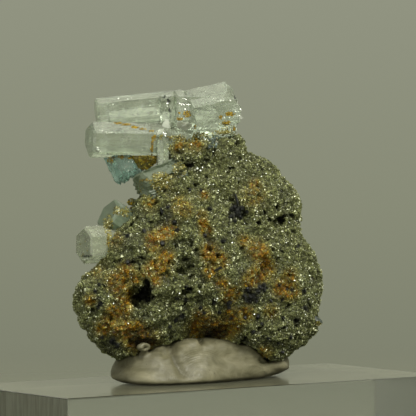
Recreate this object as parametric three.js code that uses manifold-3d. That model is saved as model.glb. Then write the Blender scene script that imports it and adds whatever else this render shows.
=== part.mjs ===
// Aquamarine crystals on a lump of fine-grained muscovite mica, held upright in grey putty on a clear
// acrylic block. Millimetres, +Z up. The origin is the centre of the block's underside, and +X runs along
// the block's long side.
import * as THREE from "three";
import Module from "manifold-3d";
import { mergeVertices } from "three/addons/utils/BufferGeometryUtils.js";
import { ImprovedNoise } from "three/addons/math/ImprovedNoise.js";

const wasm = await Module();
wasm.setup();

// Driving sizes
const BLOCK = { length: 100, depth: 41, height: 20 };
// The specimen's show side is turned to the block's left front corner.
const SHOW_TURN = THREE.MathUtils.degToRad(-36);
const FIT_GAP = 0.3; // clearance between pieces that touch
const PIT_STEP = 0.2; // how much further than its rim a pit's ball is drawn in

// The lump's outline, seen from its show side: across and up from the block's top face.
const LUMP_OUTLINE = [
  [-3.3, 53.1], [1.5, 53.4], [6.1, 53.8], [8.3, 52.3], [9.2, 49.8], [14.0, 47.7], [17.6, 43.6],
  [20.2, 40.6], [21.1, 36.2], [20.8, 31.9], [24.1, 27.0], [26.0, 20.3], [25.0, 13.6], [25.3, 10.9],
  [21.0, 6.3], [14.2, 3.9], [9.8, 7.0], [0.0, 9.6], [-9.8, 8.4], [-14.2, 6.4], [-18.4, 5.4],
  [-23.2, 8.1], [-26.6, 13.0], [-28.3, 17.9], [-26.8, 22.3], [-22.8, 26.2], [-20.1, 31.8], [-15.5, 38.2],
  [-12.0, 44.2], [-9.6, 46.6], [-8.1, 49.5], [-6.3, 52.0],
];
const LUMP = {
  centre: [-1.1, 25.7],
  frontDepth: 13.5,
  backDepth: 12.5,
  headThinning: 0.3, // share of the depth that is gone at the lump's top
  squareness: 2.35, // 2 is an ellipsoid's section, more is boxier
  skew: 0.5, // how far the lump's middle plane recedes for each millimetre across
  detail: 15,
  reliefFade: 0.6, // share of the depth over which the relief comes up from the outline
};
const OUTLINE_SAMPLES = 12; // points of the smooth outline for each one in the list
// Relief of the lump: rounded lumps, knobs and grain, as wavelength and height. It meets in creases.
const CREASE = { mean: 0.5, depth: 1.6 };
const NOISE_START = [7.3, 3.1, 1.7];
const RELIEF = [
  { wave: 11, height: 2.2 },
  { wave: 5.6, height: 1.9 },
  { wave: 3.4, height: 0.9 },
];
// Larger forms of the show side: place across and up, reach across and up, and how far each stands out or in.
const FORMS = [
  { at: [0.5, 51.0], reach: [9.5, 4.2], height: 2.4 }, // the head
  { at: [-3.5, 46.0], reach: [7.5, 1.9], height: -1.9 }, // the crease under it
  { at: [12.0, 40.0], reach: [7.0, 5.0], height: 1.2 }, // the right shoulder
  { at: [24.5, 23.0], reach: [3.6, 12.0], height: -3.2 }, // the lobe set back behind the right edge
  { at: [6.5, 21.5], reach: [9.0, 7.0], height: 1.4 }, // the belly
  { at: [-4.6, 25.0], reach: [3.2, 4.2], height: -1.7 }, // the hollow in its middle
  { at: [-20.5, 11.5], reach: [5.5, 4.5], height: 1.8 }, // the left foot
  { at: [17.5, 10.0], reach: [6.0, 4.0], height: 1.5 }, // the right foot
  { at: [1.5, 10.8], reach: [9.0, 2.8], height: -3.6 }, // the arch over the putty
];
// Pits and clefts in the show side: place across and up, half sizes across, up and into the lump.
const PITS = [
  { at: [-14.1, 19.3], half: [2.4, 2.9, 5.5] },
  { at: [-4.0, 20.2], half: [2.0, 0.9, 3.2] },
  { at: [-5.0, 24.4], half: [1.7, 1.1, 3.6] },
  { at: [15.9, 34.3], half: [1.3, 1.2, 3.0] },
];
const PIT_BALL = { detail: 2, unevenness: 0.28, waves: 2.3 };

// Crystals: free end and root in the specimen's frame (across, away from the viewer, up), width over
// corners, and turn about the axis.
const CRYSTALS = {
  upperLeft: { end: [-23.6, -1.6, 57.9], root: [-4.5, 1.0, 59.9], width: 7.0, roll: 2 },
  upperLeftStep: { end: [-21.2, 0.6, 57.7], root: [-6.0, 2.8, 59.6], width: 5.6, roll: 8 },
  lowerLeft: { end: [-25.0, -6.6, 52.7], root: [-3.5, 0.6, 52.3], width: 7.8, roll: 0 },
  junction: { end: [-8.4, -2.9, 62.0], root: [-7.9, -1.2, 53.0], width: 3.9, roll: 20 },
  column: { end: [-9.4, -5.2, 53.6], root: [-9.0, -5.6, 44.5], width: 2.9, roll: 14 },
  stub: { end: [-9.7, -6.1, 54.0], root: [-5.0, 0.5, 50.5], width: 2.8, roll: 31 },
  upperMiddle: { end: [-7.0, -0.6, 58.2], root: [2.5, 1.6, 58.0], width: 10.0, roll: -4 },
  upperRight: { end: [7.55, 2.6, 60.2], root: [-3.4, -0.2, 57.8], width: 11.3, roll: 3 },
  upperRightLow: { end: [6.9, -0.2, 55.6], root: [-1.5, -1.6, 54.4], width: 4.6, roll: 18 },
  blue: { end: [-15.9, -3.4, 43.4], root: [-19.8, -3.0, 51.2], width: 6.9, roll: 5 },
  broken: { end: [-14.6, -9.6, 41.7], root: [-5.0, -5.6, 45.8], width: 7.2, roll: 12 },
  sliver: { end: [-16.5, -7.6, 39.3], root: [-12.6, -3.6, 38.1], width: 1.7, roll: 0 },
  sideUpper: { end: [-21.0, -10.6, 36.5], root: [-12.2, -5.5, 30.6], width: 7.9, roll: 6 },
  sideLower: { end: [-26.1, -14.3, 30.0], root: [-16.4, -8.6, 30.1], width: 8.3, roll: -3 },
  chip: { end: [26.2, 9.6, 12.1], root: [21.2, 8.6, 12.6], width: 2.6, roll: 10 },
};
// How far single prism faces stand out from an even hexagon.
const UNEVEN_FACES = {
  upperLeft: [0, 0.3, 0, -0.2, 0.2, 0],
  lowerLeft: [0, -0.2, 0.2, 0, 0, 0.3],
  upperMiddle: [0.2, -0.2, 0, 0.3, 0, 0],
  upperRight: [0, 0.2, -0.4, 0, -0.3, 0.2],
  blue: [0, 0, 0.2, 0, -0.2, 0],
  broken: [0, 0.3, -0.3, 0, 0, 0.2],
  sideUpper: [0, 0.2, 0, -0.2, 0, 0],
  sideLower: [0.2, 0, 0, 0, -0.2, 0],
};
const EVEN_FACES = [0, 0, 0, 0, 0, 0];
const END_BEVEL = 0.45; // leg of the narrow faces round a crystal's flat end
const BAR_WIDTHS = 3; // side of the bar that a crystal is cut from, in crystal widths
// Slanting faces that bite into a broken end: tilt from the axis, turn about it, and depth of the bite.
const BROKEN_ENDS = {
  upperRight: [
    { tilt: 18, turn: 176, cut: 1.4 },
    { tilt: 20, turn: 6, cut: 1.3 },
    { tilt: 42, turn: 275, cut: 2.2 },
  ],
  blue: [
    { tilt: 20, turn: 60, cut: 0.5 },
    { tilt: 30, turn: 250, cut: 0.9 },
  ],
  broken: [
    { tilt: 34, turn: 95, cut: 1.6 },
    { tilt: 28, turn: 215, cut: 1.3 },
  ],
  column: [{ tilt: 40, turn: 180, cut: 0.7 }],
};

// The putty: a pressed roll along the block's long side.
const PUTTY = {
  centre: [-1.2, 0],
  halfLength: 21.0,
  halfWidth: 8.8,
  squareness: 2.6,
  belly: 2.6, // height of its widest line
  crown: 7.6, // height of its top above the belly
  footRound: 4.2, // how far the rounding below the belly would reach, if the block did not stop it
  unevenness: 0.09, // share by which its outline swells and narrows
  wave: 7,
  slice: 4.2, // where the noise is read
  markFade: [2, 6], // thumb marks come in between these heights
  detail: 7,
};
// Thumb marks in the putty: place along and across its roll, radius and depth.
const THUMB_MARKS = [
  { at: [-12, -6], radius: 6.5, depth: 1.1 },
  { at: [1.5, -8], radius: 6, depth: 1.0 },
  { at: [16, -5], radius: 7, depth: 2.0 },
  { at: [-17, 3], radius: 5, depth: 1.2 },
  { at: [8, 8], radius: 7, depth: 1.3 },
];
const NUB_DETAIL = 2;
const NUBS = [
  { at: [-18.1, -3.5, 7.9], radius: 1.8 },
  { at: [20.2, -1.8, 3.0], radius: 2.4 },
];

const noise = new ImprovedNoise();

function solidFrom(geometry) {
  const bare = new THREE.BufferGeometry();
  bare.setAttribute("position", geometry.getAttribute("position"));
  if (geometry.index) bare.setIndex(geometry.index);
  const merged = mergeVertices(bare, 1e-4);
  return new wasm.Manifold(
    new wasm.Mesh({
      numProp: 3,
      vertProperties: merged.attributes.position.array,
      triVerts: new Uint32Array(merged.index.array),
    }),
  );
}

function geometryFrom(solid) {
  const mesh = solid.getMesh();
  const position = new Float32Array(mesh.numVert * 3);
  for (let i = 0; i < mesh.numVert; i++) {
    position.set(mesh.vertProperties.subarray(i * mesh.numProp, i * mesh.numProp + 3), i * 3);
  }
  const geometry = new THREE.BufferGeometry();
  geometry.setAttribute("position", new THREE.BufferAttribute(position, 3));
  geometry.setIndex(new THREE.BufferAttribute(mesh.triVerts, 1));
  geometry.computeVertexNormals();
  return geometry;
}

// A solid of one body: what a cut leaves loose is dropped.
function largestBody(solid) {
  return solid.decompose().sort((a, b) => b.volume() - a.volume())[0];
}

// The outline as a radius for each direction round the lump's centre.
function outlineRadius() {
  const [cx, cz] = LUMP.centre;
  const points = LUMP_OUTLINE.map(([x, z]) => new THREE.Vector3(x - cx, 0, z - cz));
  const samples = new THREE.CatmullRomCurve3(points, true)
    .getPoints(LUMP_OUTLINE.length * OUTLINE_SAMPLES)
    .map((p) => ({ angle: Math.atan2(p.z, p.x), radius: Math.hypot(p.x, p.z) }))
    .sort((a, b) => a.angle - b.angle);
  const first = samples[0];
  const last = samples[samples.length - 1];
  samples.unshift({ angle: last.angle - 2 * Math.PI, radius: last.radius });
  samples.push({ angle: first.angle + 2 * Math.PI, radius: first.radius });
  return (angle) => {
    const next = samples.findIndex((s) => s.angle > angle);
    const [a, b] = [samples[next - 1], samples[next]];
    return THREE.MathUtils.mapLinear(angle, a.angle, b.angle, a.radius, b.radius);
  };
}

// Rounded bumps that meet in creases, as grains that have grown together do.
function relief(p) {
  const [u, v, w] = NOISE_START;
  return RELIEF.reduce((sum, { wave, height }, i) => {
    const n = noise.noise(p.x / wave + u * i, p.y / wave + v, p.z / wave + w * i);
    return sum + height * (CREASE.mean - CREASE.depth * Math.abs(n));
  }, 0);
}

function forms(x, z) {
  const [cx, cz] = LUMP.centre;
  return FORMS.reduce((sum, { at, reach, height }) => {
    const share = Math.hypot((x + cx - at[0]) / reach[0], (z + cz - at[1]) / reach[1]);
    return share < 1 ? sum + height * (1 - share * share) ** 2 : sum;
  }, 0);
}

// The surface of the lump in a direction from its centre.
function lumpPoint(direction, radiusOf) {
  const across = Math.hypot(direction.x, direction.z);
  const outline = radiusOf(Math.atan2(direction.z, direction.x));
  const fullDepth = direction.y < 0 ? LUMP.frontDepth : LUMP.backDepth;
  const depth = fullDepth * (1 - LUMP.headThinning * THREE.MathUtils.smoothstep(direction.z, 0, 1));
  const k = LUMP.squareness;
  const reach = ((across / outline) ** k + (Math.abs(direction.y) / depth) ** k) ** (-1 / k);
  const point = direction.clone().multiplyScalar(reach);
  // Relief and forms fade at the outline, which already has its own bumps.
  const facing = THREE.MathUtils.smoothstep(Math.abs(point.y) / depth, 0, LUMP.reliefFade);
  point.addScaledVector(direction, relief(point) * facing);
  if (direction.y < 0) point.y -= forms(point.x, point.z) * facing;
  return point;
}

function muscoviteLump() {
  const radiusOf = outlineRadius();
  const geometry = new THREE.IcosahedronGeometry(1, LUMP.detail);
  const position = geometry.getAttribute("position");
  const vertex = new THREE.Vector3();
  for (let i = 0; i < position.count; i++) {
    const point = lumpPoint(vertex.fromBufferAttribute(position, i).normalize(), radiusOf);
    const [cx, cz] = LUMP.centre;
    position.setXYZ(i, point.x + cx, point.y + LUMP.skew * point.x, point.z + cz);
  }
  return solidFrom(geometry);
}

// Where the lump's show side lies at a place across and up.
function showSideDepth([x, z], radiusOf) {
  const [cx, cz] = LUMP.centre;
  const outline = radiusOf(Math.atan2(z - cz, x - cx));
  const share = Math.hypot(x - cx, z - cz) / outline;
  const k = LUMP.squareness;
  return -LUMP.frontDepth * (1 - share ** k) ** (1 / k) + LUMP.skew * (x - cx);
}

function pit({ at, half }, radiusOf) {
  const { detail, unevenness, waves } = PIT_BALL;
  const geometry = new THREE.IcosahedronGeometry(1, detail);
  const position = geometry.getAttribute("position");
  const vertex = new THREE.Vector3();
  for (let i = 0; i < position.count; i++) {
    vertex.fromBufferAttribute(position, i);
    const { x, y, z } = vertex;
    const uneven = 1 + unevenness * noise.noise(waves * x + at[0], waves * y, waves * z + at[1]);
    position.setXYZ(i, x * uneven, y * uneven, z * uneven);
  }
  geometry.scale(half[0], half[2], half[1]);
  geometry.translate(at[0], showSideDepth(at, radiusOf) + PIT_STEP, at[1]);
  return solidFrom(geometry);
}

// A beryl crystal: a six-sided prism with a flat end and narrow bevels round it, cut from a bar by its faces.
function beryl(name, grow = 0) {
  const { end, root, width, roll } = CRYSTALS[name];
  const from = new THREE.Vector3(...root);
  const axis = new THREE.Vector3(...end).sub(from);
  const length = axis.length();
  const apothem = (width / 2) * Math.cos(Math.PI / 6);
  const side = BAR_WIDTHS * width;
  const bar = new THREE.BoxGeometry(side, side, length + 2 * grow);
  bar.translate(0, 0, length / 2);
  let solid = solidFrom(bar);
  const cut = (normal, distance) => {
    solid = solid.trimByPlane(normal.clone().negate().toArray(), -(distance + grow));
  };
  (UNEVEN_FACES[name] ?? EVEN_FACES).forEach((offset, i) => {
    const turn = (i * Math.PI) / 3;
    const face = new THREE.Vector3(Math.cos(turn), Math.sin(turn), 0);
    cut(face, apothem + offset);
    const bevel = face.clone().add(new THREE.Vector3(0, 0, 1)).normalize();
    cut(bevel, (apothem + offset + length - END_BEVEL) / Math.SQRT2);
  });
  for (const { tilt, turn, cut: bite } of BROKEN_ENDS[name] ?? []) {
    const lean = THREE.MathUtils.degToRad(tilt);
    const about = THREE.MathUtils.degToRad(turn);
    const face = new THREE.Vector3().setFromSphericalCoords(1, lean, about);
    // Spherical coordinates stand on +Y: the pole is turned to the crystal's axis.
    face.set(face.z, face.x, face.y);
    cut(face, Math.cos(lean) * length + Math.sin(lean) * apothem - bite);
  }
  // The prism's axis is +Z so far: it is turned about it, then laid along the crystal's own.
  const place = new THREE.Matrix4()
    .makeTranslation(from)
    .multiply(new THREE.Matrix4().makeRotationFromQuaternion(
      new THREE.Quaternion().setFromUnitVectors(new THREE.Vector3(0, 0, 1), axis.normalize()),
    ))
    .multiply(new THREE.Matrix4().makeRotationZ(THREE.MathUtils.degToRad(roll)));
  return solid.transform(place.elements);
}

function grownTogether(names, grow = 0) {
  return names.map((name) => beryl(name, grow)).reduce((a, b) => a.add(b));
}

// The putty in the specimen's frame: a pressed ball whose underside lies flat on the block.
function puttyRoll() {
  const geometry = new THREE.IcosahedronGeometry(1, PUTTY.detail);
  const position = geometry.getAttribute("position");
  const vertex = new THREE.Vector3();
  for (let i = 0; i < position.count; i++) {
    vertex.fromBufferAttribute(position, i).normalize();
    const k = PUTTY.squareness;
    const reach = vertex.toArray().reduce((sum, c) => sum + Math.abs(c) ** k, 0) ** (-1 / k);
    vertex.multiplyScalar(reach);
    const along = vertex.x * PUTTY.halfLength;
    const over = vertex.y * PUTTY.halfWidth;
    const uneven = 1 + PUTTY.unevenness * noise.noise(along / PUTTY.wave, over / PUTTY.wave, PUTTY.slice);
    let height = PUTTY.belly + vertex.z * (vertex.z > 0 ? PUTTY.crown : PUTTY.footRound);
    const upper = THREE.MathUtils.smoothstep(height, ...PUTTY.markFade);
    for (const { at, radius, depth } of THUMB_MARKS) {
      const share = Math.hypot(along - at[0], over - at[1]) / radius;
      if (share < 1) height -= upper * depth * (1 - share * share) ** 2;
    }
    position.setXYZ(i, along * uneven, over * uneven, Math.max(height, 0));
  }
  let solid = solidFrom(geometry);
  for (const { at, radius } of NUBS) {
    solid = solid.add(solidFrom(new THREE.IcosahedronGeometry(radius, NUB_DETAIL).translate(...at)));
  }
  // Along the block's long side, as seen in the specimen's turned frame.
  const turned = new THREE.Matrix4()
    .makeTranslation(PUTTY.centre[0], PUTTY.centre[1], FIT_GAP)
    .multiply(new THREE.Matrix4().makeRotationZ(-SHOW_TURN));
  return solid.transform(turned.elements);
}

const TOP_CLUSTER = [
  "upperLeft", "upperLeftStep", "lowerLeft", "junction", "column", "stub",
  "upperMiddle", "upperRight", "upperRightLow", "blue", "broken",
];
const SIDE_CLUSTER = ["sideUpper", "sideLower"];
const LONE = ["sliver", "chip"];

function specimenSolids() {
  const radiusOf = outlineRadius();
  const everyRoot = grownTogether([...TOP_CLUSTER, ...SIDE_CLUSTER, ...LONE], FIT_GAP);
  const pits = PITS.map((p) => pit(p, radiusOf)).reduce((a, b) => a.add(b));
  const whole = muscoviteLump();
  const lump = largestBody(whole.subtract(pits).subtract(everyRoot));
  // The putty fits the lump's underside: it is cut by the lump, raised and spread by the gap all round.
  const nudges = [[0, 0, -1], [1, 0, -0.5], [-1, 0, -0.5], [0, 1, -0.5], [0, -1, -0.5]];
  const putty = nudges.reduce((left, nudge) => {
    const step = new THREE.Vector3(...nudge).normalize().multiplyScalar(FIT_GAP);
    return left.subtract(whole.translate(step.toArray()));
  }, puttyRoll());
  return {
    muscovite_matrix: lump,
    aquamarine_top_cluster: grownTogether(TOP_CLUSTER),
    aquamarine_side_cluster: grownTogether(SIDE_CLUSTER),
    aquamarine_sliver: largestBody(beryl("sliver").subtract(beryl("broken", FIT_GAP))),
    aquamarine_chip: beryl("chip"),
    putty: largestBody(putty),
  };
}

const MICA = new THREE.MeshStandardMaterial({ color: 0x6f7057, roughness: 0.55, metalness: 0 });
const AQUAMARINE = new THREE.MeshStandardMaterial({
  color: 0xb4c9bf,
  roughness: 0.1,
  metalness: 0,
  transparent: true,
  opacity: 0.6,
});
const PUTTY_GREY = new THREE.MeshStandardMaterial({ color: 0x8f8b77, roughness: 0.8, metalness: 0 });
const ACRYLIC = new THREE.MeshStandardMaterial({
  color: 0xdfe3d8,
  roughness: 0.05,
  metalness: 0,
  transparent: true,
  opacity: 0.35,
});
const FINISHES = { muscovite_matrix: MICA, putty: PUTTY_GREY };

function buildSpecimen() {
  const group = new THREE.Group();
  for (const [name, solid] of Object.entries(specimenSolids())) {
    const mesh = new THREE.Mesh(geometryFrom(solid), FINISHES[name] ?? AQUAMARINE);
    mesh.name = name;
    group.add(mesh);
  }
  group.rotation.z = SHOW_TURN;
  group.position.z = BLOCK.height;
  return group;
}

function buildBlock() {
  const mesh = new THREE.Mesh(new THREE.BoxGeometry(BLOCK.length, BLOCK.depth, BLOCK.height), ACRYLIC);
  mesh.name = "acrylic_block";
  mesh.position.z = BLOCK.height / 2;
  return mesh;
}

const root = new THREE.Group();
root.add(buildBlock(), buildSpecimen());
export default root;
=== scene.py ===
"""Looks of an aquamarine and muscovite specimen, held in putty on a clear acrylic block.

Sizes of the stone are in millimetres in the specimen's own frame: x across its show side, y away from
the viewer, z up from the block's top face. MM and the placing matrix bring them into the row frame.
"""

import math
import random

import bmesh
import bpy
import numpy as np
from mathutils import Euler, Matrix, Vector, noise
from mathutils.bvhtree import BVHTree


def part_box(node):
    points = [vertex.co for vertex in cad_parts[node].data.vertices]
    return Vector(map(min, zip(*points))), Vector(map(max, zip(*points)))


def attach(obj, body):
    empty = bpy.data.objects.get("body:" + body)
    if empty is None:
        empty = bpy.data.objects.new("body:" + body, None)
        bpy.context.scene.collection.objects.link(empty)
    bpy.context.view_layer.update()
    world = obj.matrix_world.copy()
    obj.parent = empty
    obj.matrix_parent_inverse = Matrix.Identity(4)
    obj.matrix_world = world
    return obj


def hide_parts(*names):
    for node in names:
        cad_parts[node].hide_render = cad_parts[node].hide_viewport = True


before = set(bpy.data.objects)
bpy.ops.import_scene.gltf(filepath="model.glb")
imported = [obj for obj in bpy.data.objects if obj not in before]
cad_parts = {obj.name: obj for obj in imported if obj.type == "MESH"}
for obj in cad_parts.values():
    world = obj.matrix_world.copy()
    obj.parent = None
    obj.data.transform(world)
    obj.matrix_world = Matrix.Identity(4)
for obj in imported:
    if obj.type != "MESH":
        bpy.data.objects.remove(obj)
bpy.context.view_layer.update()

MM = 0.001
BLOCK_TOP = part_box("acrylic_block")[1].z
SHOW_TURN = math.radians(-36)
PLACE = Matrix.Translation((0, 0, BLOCK_TOP)) @ Matrix.Rotation(SHOW_TURN, 4, "Z") @ Matrix.Scale(MM, 4)
UNPLACE = PLACE.inverted()


# Meshes and nodes


def mesh_of(name, vertices, faces):
    mesh = bpy.data.meshes.new(name)
    mesh.from_pydata([tuple(v) for v in vertices], [], [tuple(f) for f in faces])
    mesh.update()
    return mesh


def object_of(mesh):
    made = bpy.data.objects.new(mesh.name, mesh)
    bpy.context.scene.collection.objects.link(made)
    return made


def coordinates(mesh):
    co = np.empty(len(mesh.vertices) * 3)
    mesh.vertices.foreach_get("co", co)
    return co.reshape(-1, 3)


def set_coordinates(mesh, co):
    mesh.vertices.foreach_set("co", np.ascontiguousarray(co, dtype=np.float32).ravel())
    mesh.update()


def vertex_normals(mesh):
    normals = np.empty(len(mesh.vertices) * 3)
    mesh.vertices.foreach_get("normal", normals)
    return normals.reshape(-1, 3)


def to_specimen(co):
    """Row-frame metres to the specimen's millimetres."""
    m = np.array(UNPLACE)
    return co @ m[:3, :3].T + m[:3, 3]


def to_row(co):
    m = np.array(PLACE)
    return np.asarray(co) @ m[:3, :3].T + m[:3, 3]


def evaluated_mesh(source, name):
    """A plain mesh of an object as its modifiers leave it."""
    graph = bpy.context.evaluated_depsgraph_get()
    mesh = bpy.data.meshes.new_from_object(source.evaluated_get(graph))
    mesh.name = name
    return mesh


def node_copy(node, name):
    """A merged copy of a CAD node's loose triangles."""
    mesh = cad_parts[node].data.copy()
    mesh.name = name
    mesh.materials.clear()
    work = bmesh.new()
    work.from_mesh(mesh)
    bmesh.ops.remove_doubles(work, verts=work.verts, dist=1e-6)
    work.to_mesh(mesh)
    work.free()
    return mesh


def remeshed(mesh, voxel, name):
    """The same form in small even faces."""
    source = object_of(mesh)
    remesh = source.modifiers.new("Remesh", "REMESH")
    remesh.mode = "VOXEL"
    remesh.voxel_size = voxel
    made = evaluated_mesh(source, name)
    bpy.data.objects.remove(source)
    return made


def add_attribute(mesh, name, values):
    attribute = mesh.attributes.new(name, "FLOAT", "POINT")
    attribute.data.foreach_set("value", np.asarray(values, np.float32))


def finish_piece(mesh, material, slot, *nodes):
    """Puts a finished mesh in the scene, on the one body, in place of its CAD nodes."""
    if material is not None:
        mesh.materials.clear()
        mesh.materials.append(material)
    piece = object_of(mesh)
    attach(piece, "root")
    if nodes:
        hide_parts(*nodes)
    return piece


class Shader:
    """A material's node tree, with short calls for the nodes that the finishes share."""

    def __init__(self, name):
        self.material = bpy.data.materials.new(name)
        self.material.use_nodes = True
        self.nodes = self.material.node_tree.nodes
        self.links = self.material.node_tree.links
        self.surface = self.nodes["Principled BSDF"]
        self.output = self.nodes["Material Output"]
        self.place = self.nodes.new("ShaderNodeTexCoord").outputs["Object"]

    def set(self, **values):
        for name, value in values.items():
            self.surface.inputs[name.replace("_", " ")].default_value = value

    def link(self, source, target):
        if isinstance(target, str):
            target = self.surface.inputs[target]
        self.links.new(source, target)

    def node(self, kind, **settings):
        made = self.nodes.new(kind)
        for name, value in settings.items():
            setattr(made, name, value)
        return made

    def noise(self, size_mm, detail=4.0, rough=0.55, distortion=0.0, stretch=(1, 1, 1), turn=0.0):
        """Noise with features of about size_mm, from 0 to 1, drawn out by stretch in a turned frame."""
        mapping = self.node("ShaderNodeMapping", vector_type="TEXTURE")
        mapping.inputs["Rotation"].default_value = (0, 0, turn)
        mapping.inputs["Scale"].default_value = stretch
        self.links.new(self.place, mapping.inputs["Vector"])
        made = self.node("ShaderNodeTexNoise")
        made.inputs["Scale"].default_value = 1 / (size_mm * MM)
        made.inputs["Detail"].default_value = detail
        made.inputs["Roughness"].default_value = rough
        made.inputs["Distortion"].default_value = distortion
        self.links.new(mapping.outputs["Vector"], made.inputs["Vector"])
        return made.outputs["Fac"]

    def cells(self, size_mm):
        """Distance to the nearest middle of cells of about size_mm."""
        made = self.node("ShaderNodeTexVoronoi")
        made.inputs["Scale"].default_value = 1 / (size_mm * MM)
        self.links.new(self.place, made.inputs["Vector"])
        return made.outputs["Distance"]

    def attribute(self, name):
        return self.node("ShaderNodeAttribute", attribute_name=name).outputs["Fac"]

    def ramp(self, value, *stops):
        """Maps a value through (position, colour or grey) stops."""
        made = self.node("ShaderNodeValToRGB")
        while len(made.color_ramp.elements) < len(stops):
            made.color_ramp.elements.new(0.5)
        for element, (position, colour) in zip(made.color_ramp.elements, stops):
            element.position = position
            element.color = (*colour, 1) if isinstance(colour, tuple) else (colour, colour, colour, 1)
        self.links.new(value, made.inputs["Fac"])
        return made.outputs["Color"]

    def mix(self, share, a, b, blend="MIX"):
        made = self.node("ShaderNodeMix", data_type="RGBA", blend_type=blend)
        sockets = {s.identifier: s for s in made.inputs}
        for key, value in (("Factor_Float", share), ("A_Color", a), ("B_Color", b)):
            if hasattr(value, "is_output"):
                self.links.new(value, sockets[key])
            elif key == "Factor_Float":
                sockets[key].default_value = value
            else:
                sockets[key].default_value = (*value, 1)
        return next(s for s in made.outputs if s.identifier == "Result_Color")

    def math(self, operation, a, b=0.0):
        made = self.node("ShaderNodeMath", operation=operation)
        for socket, value in zip(made.inputs, (a, b)):
            if hasattr(value, "is_output"):
                self.links.new(value, socket)
            else:
                socket.default_value = value
        return made.outputs["Value"]

    def bump(self, height, depth_mm, strength=1.0):
        made = self.node("ShaderNodeBump")
        made.inputs["Strength"].default_value = strength
        made.inputs["Distance"].default_value = depth_mm * MM
        self.links.new(height, made.inputs["Height"])
        self.links.new(made.outputs["Normal"], self.surface.inputs["Normal"])

    def absorb(self, colour, density):
        volume = self.node("ShaderNodeVolumeAbsorption")
        volume.inputs["Color"].default_value = (*colour, 1)
        volume.inputs["Density"].default_value = density
        self.links.new(volume.outputs["Volume"], self.output.inputs["Volume"])


# Camera, light and floor

PHOTO_SIDE = 416  # pixels
FOCAL = 3800  # pixels, from the block's edges
CAMERA_AZIMUTH = math.radians(-36.1)
CAMERA_ELEVATION = math.radians(2.24)
CAMERA_DISTANCE = 0.828
CAMERA_TARGET = Vector((0.0008, 0, BLOCK_TOP + 0.0375))
LIT_MIDDLE = Vector((0, 0, BLOCK_TOP + 0.03))  # where the lights point
SENSOR = 36


def direction(azimuth, elevation):
    """From the object towards a viewer at this azimuth and elevation."""
    flat = math.cos(elevation)
    return Vector((math.sin(azimuth) * flat, -math.cos(azimuth) * flat, math.sin(elevation)))


TO_CAMERA = direction(CAMERA_AZIMUTH, CAMERA_ELEVATION)
EYE = CAMERA_TARGET + TO_CAMERA * CAMERA_DISTANCE
EYE_TURN = (-TO_CAMERA).to_track_quat("-Z", "Y")


def make_camera():
    data = bpy.data.cameras.new("camera")
    data.sensor_width = SENSOR
    data.lens = SENSOR * FOCAL / PHOTO_SIDE
    data.clip_start = 0.05
    data.clip_end = 50
    camera = bpy.data.objects.new("camera", data)
    bpy.context.scene.collection.objects.link(camera)
    camera.location = EYE
    camera.rotation_euler = EYE_TURN.to_euler()
    bpy.context.scene.camera = camera


def sight_line(across, down):
    """From the camera through a pixel of the photograph, in the specimen's millimetres."""
    ray = EYE_TURN @ Vector((across - PHOTO_SIDE / 2, PHOTO_SIDE / 2 - down, -FOCAL))
    start = UNPLACE @ EYE
    return start, (UNPLACE @ (EYE + ray) - start).normalized()


def seen_at(p):
    """The pixels, across and down, where the photograph's camera sees points of the specimen."""
    local = (to_row(p) - np.array(EYE)) @ np.array(EYE_TURN.to_matrix())
    across = PHOTO_SIDE / 2 - FOCAL * local[:, 0] / local[:, 2]
    down = PHOTO_SIDE / 2 + FOCAL * local[:, 1] / local[:, 2]
    return across, down


def softbox(name, azimuth, elevation, distance, side, power, colour):
    """A square area light; its azimuth is counted from the camera's, to the right."""
    data = bpy.data.lights.new(name, "AREA")
    data.shape = "SQUARE"
    data.size = side
    data.energy = power
    data.color = colour
    light = bpy.data.objects.new(name, data)
    bpy.context.scene.collection.objects.link(light)
    back = direction(CAMERA_AZIMUTH + math.radians(azimuth), math.radians(elevation))
    light.location = LIT_MIDDLE + back * distance
    light.rotation_euler = (-back).to_track_quat("-Z", "Y").to_euler()


KEY_AZIMUTH, KEY_ELEVATION = 48, 46  # degrees


def make_lights():
    softbox("key softbox", KEY_AZIMUTH, KEY_ELEVATION, 0.9, 0.3, 6.8, (1.0, 0.99, 0.90))
    softbox("top softbox", 10, 80, 0.9, 0.8, 3.0, (1.0, 0.99, 0.90))
    softbox("fill softbox", -28, 14, 1.2, 1.4, 7.0, (1.0, 1.0, 0.94))
    softbox("back softbox", 170, 42, 1.2, 1.4, 2.4, (1.0, 1.0, 0.90))


# The backdrop's tone by the height of the direction that it is seen in, from straight down to straight up.
BACKDROP = [
    (-1.0, (0.200, 0.210, 0.155)),
    (-0.078, (0.212, 0.223, 0.159)),
    (-0.039, (0.246, 0.258, 0.184)),
    (0.0105, (0.279, 0.291, 0.216)),
    (0.039, (0.300, 0.314, 0.235)),
    (0.105, (0.342, 0.356, 0.270)),
    (1.0, (0.36, 0.37, 0.29)),
]


def make_world():
    """A plain studio backdrop that gets a little lighter upwards."""
    world = bpy.data.worlds.new("studio")
    bpy.context.scene.world = world
    world.use_nodes = True
    nodes, links = world.node_tree.nodes, world.node_tree.links
    place = nodes.new("ShaderNodeTexCoord")
    split = nodes.new("ShaderNodeSeparateXYZ")
    links.new(place.outputs["Generated"], split.inputs["Vector"])
    height = nodes.new("ShaderNodeMapRange")
    height.inputs["From Min"].default_value = -1
    height.inputs["From Max"].default_value = 1
    links.new(split.outputs["Z"], height.inputs["Value"])
    ramp = nodes.new("ShaderNodeValToRGB")
    while len(ramp.color_ramp.elements) < len(BACKDROP):
        ramp.color_ramp.elements.new(0.5)
    for element, (level, colour) in zip(ramp.color_ramp.elements, BACKDROP):
        element.position = (level + 1) / 2
        element.color = (*colour, 1)
    links.new(height.outputs["Result"], ramp.inputs["Fac"])
    links.new(ramp.outputs["Color"], nodes["Background"].inputs["Color"])


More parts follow.
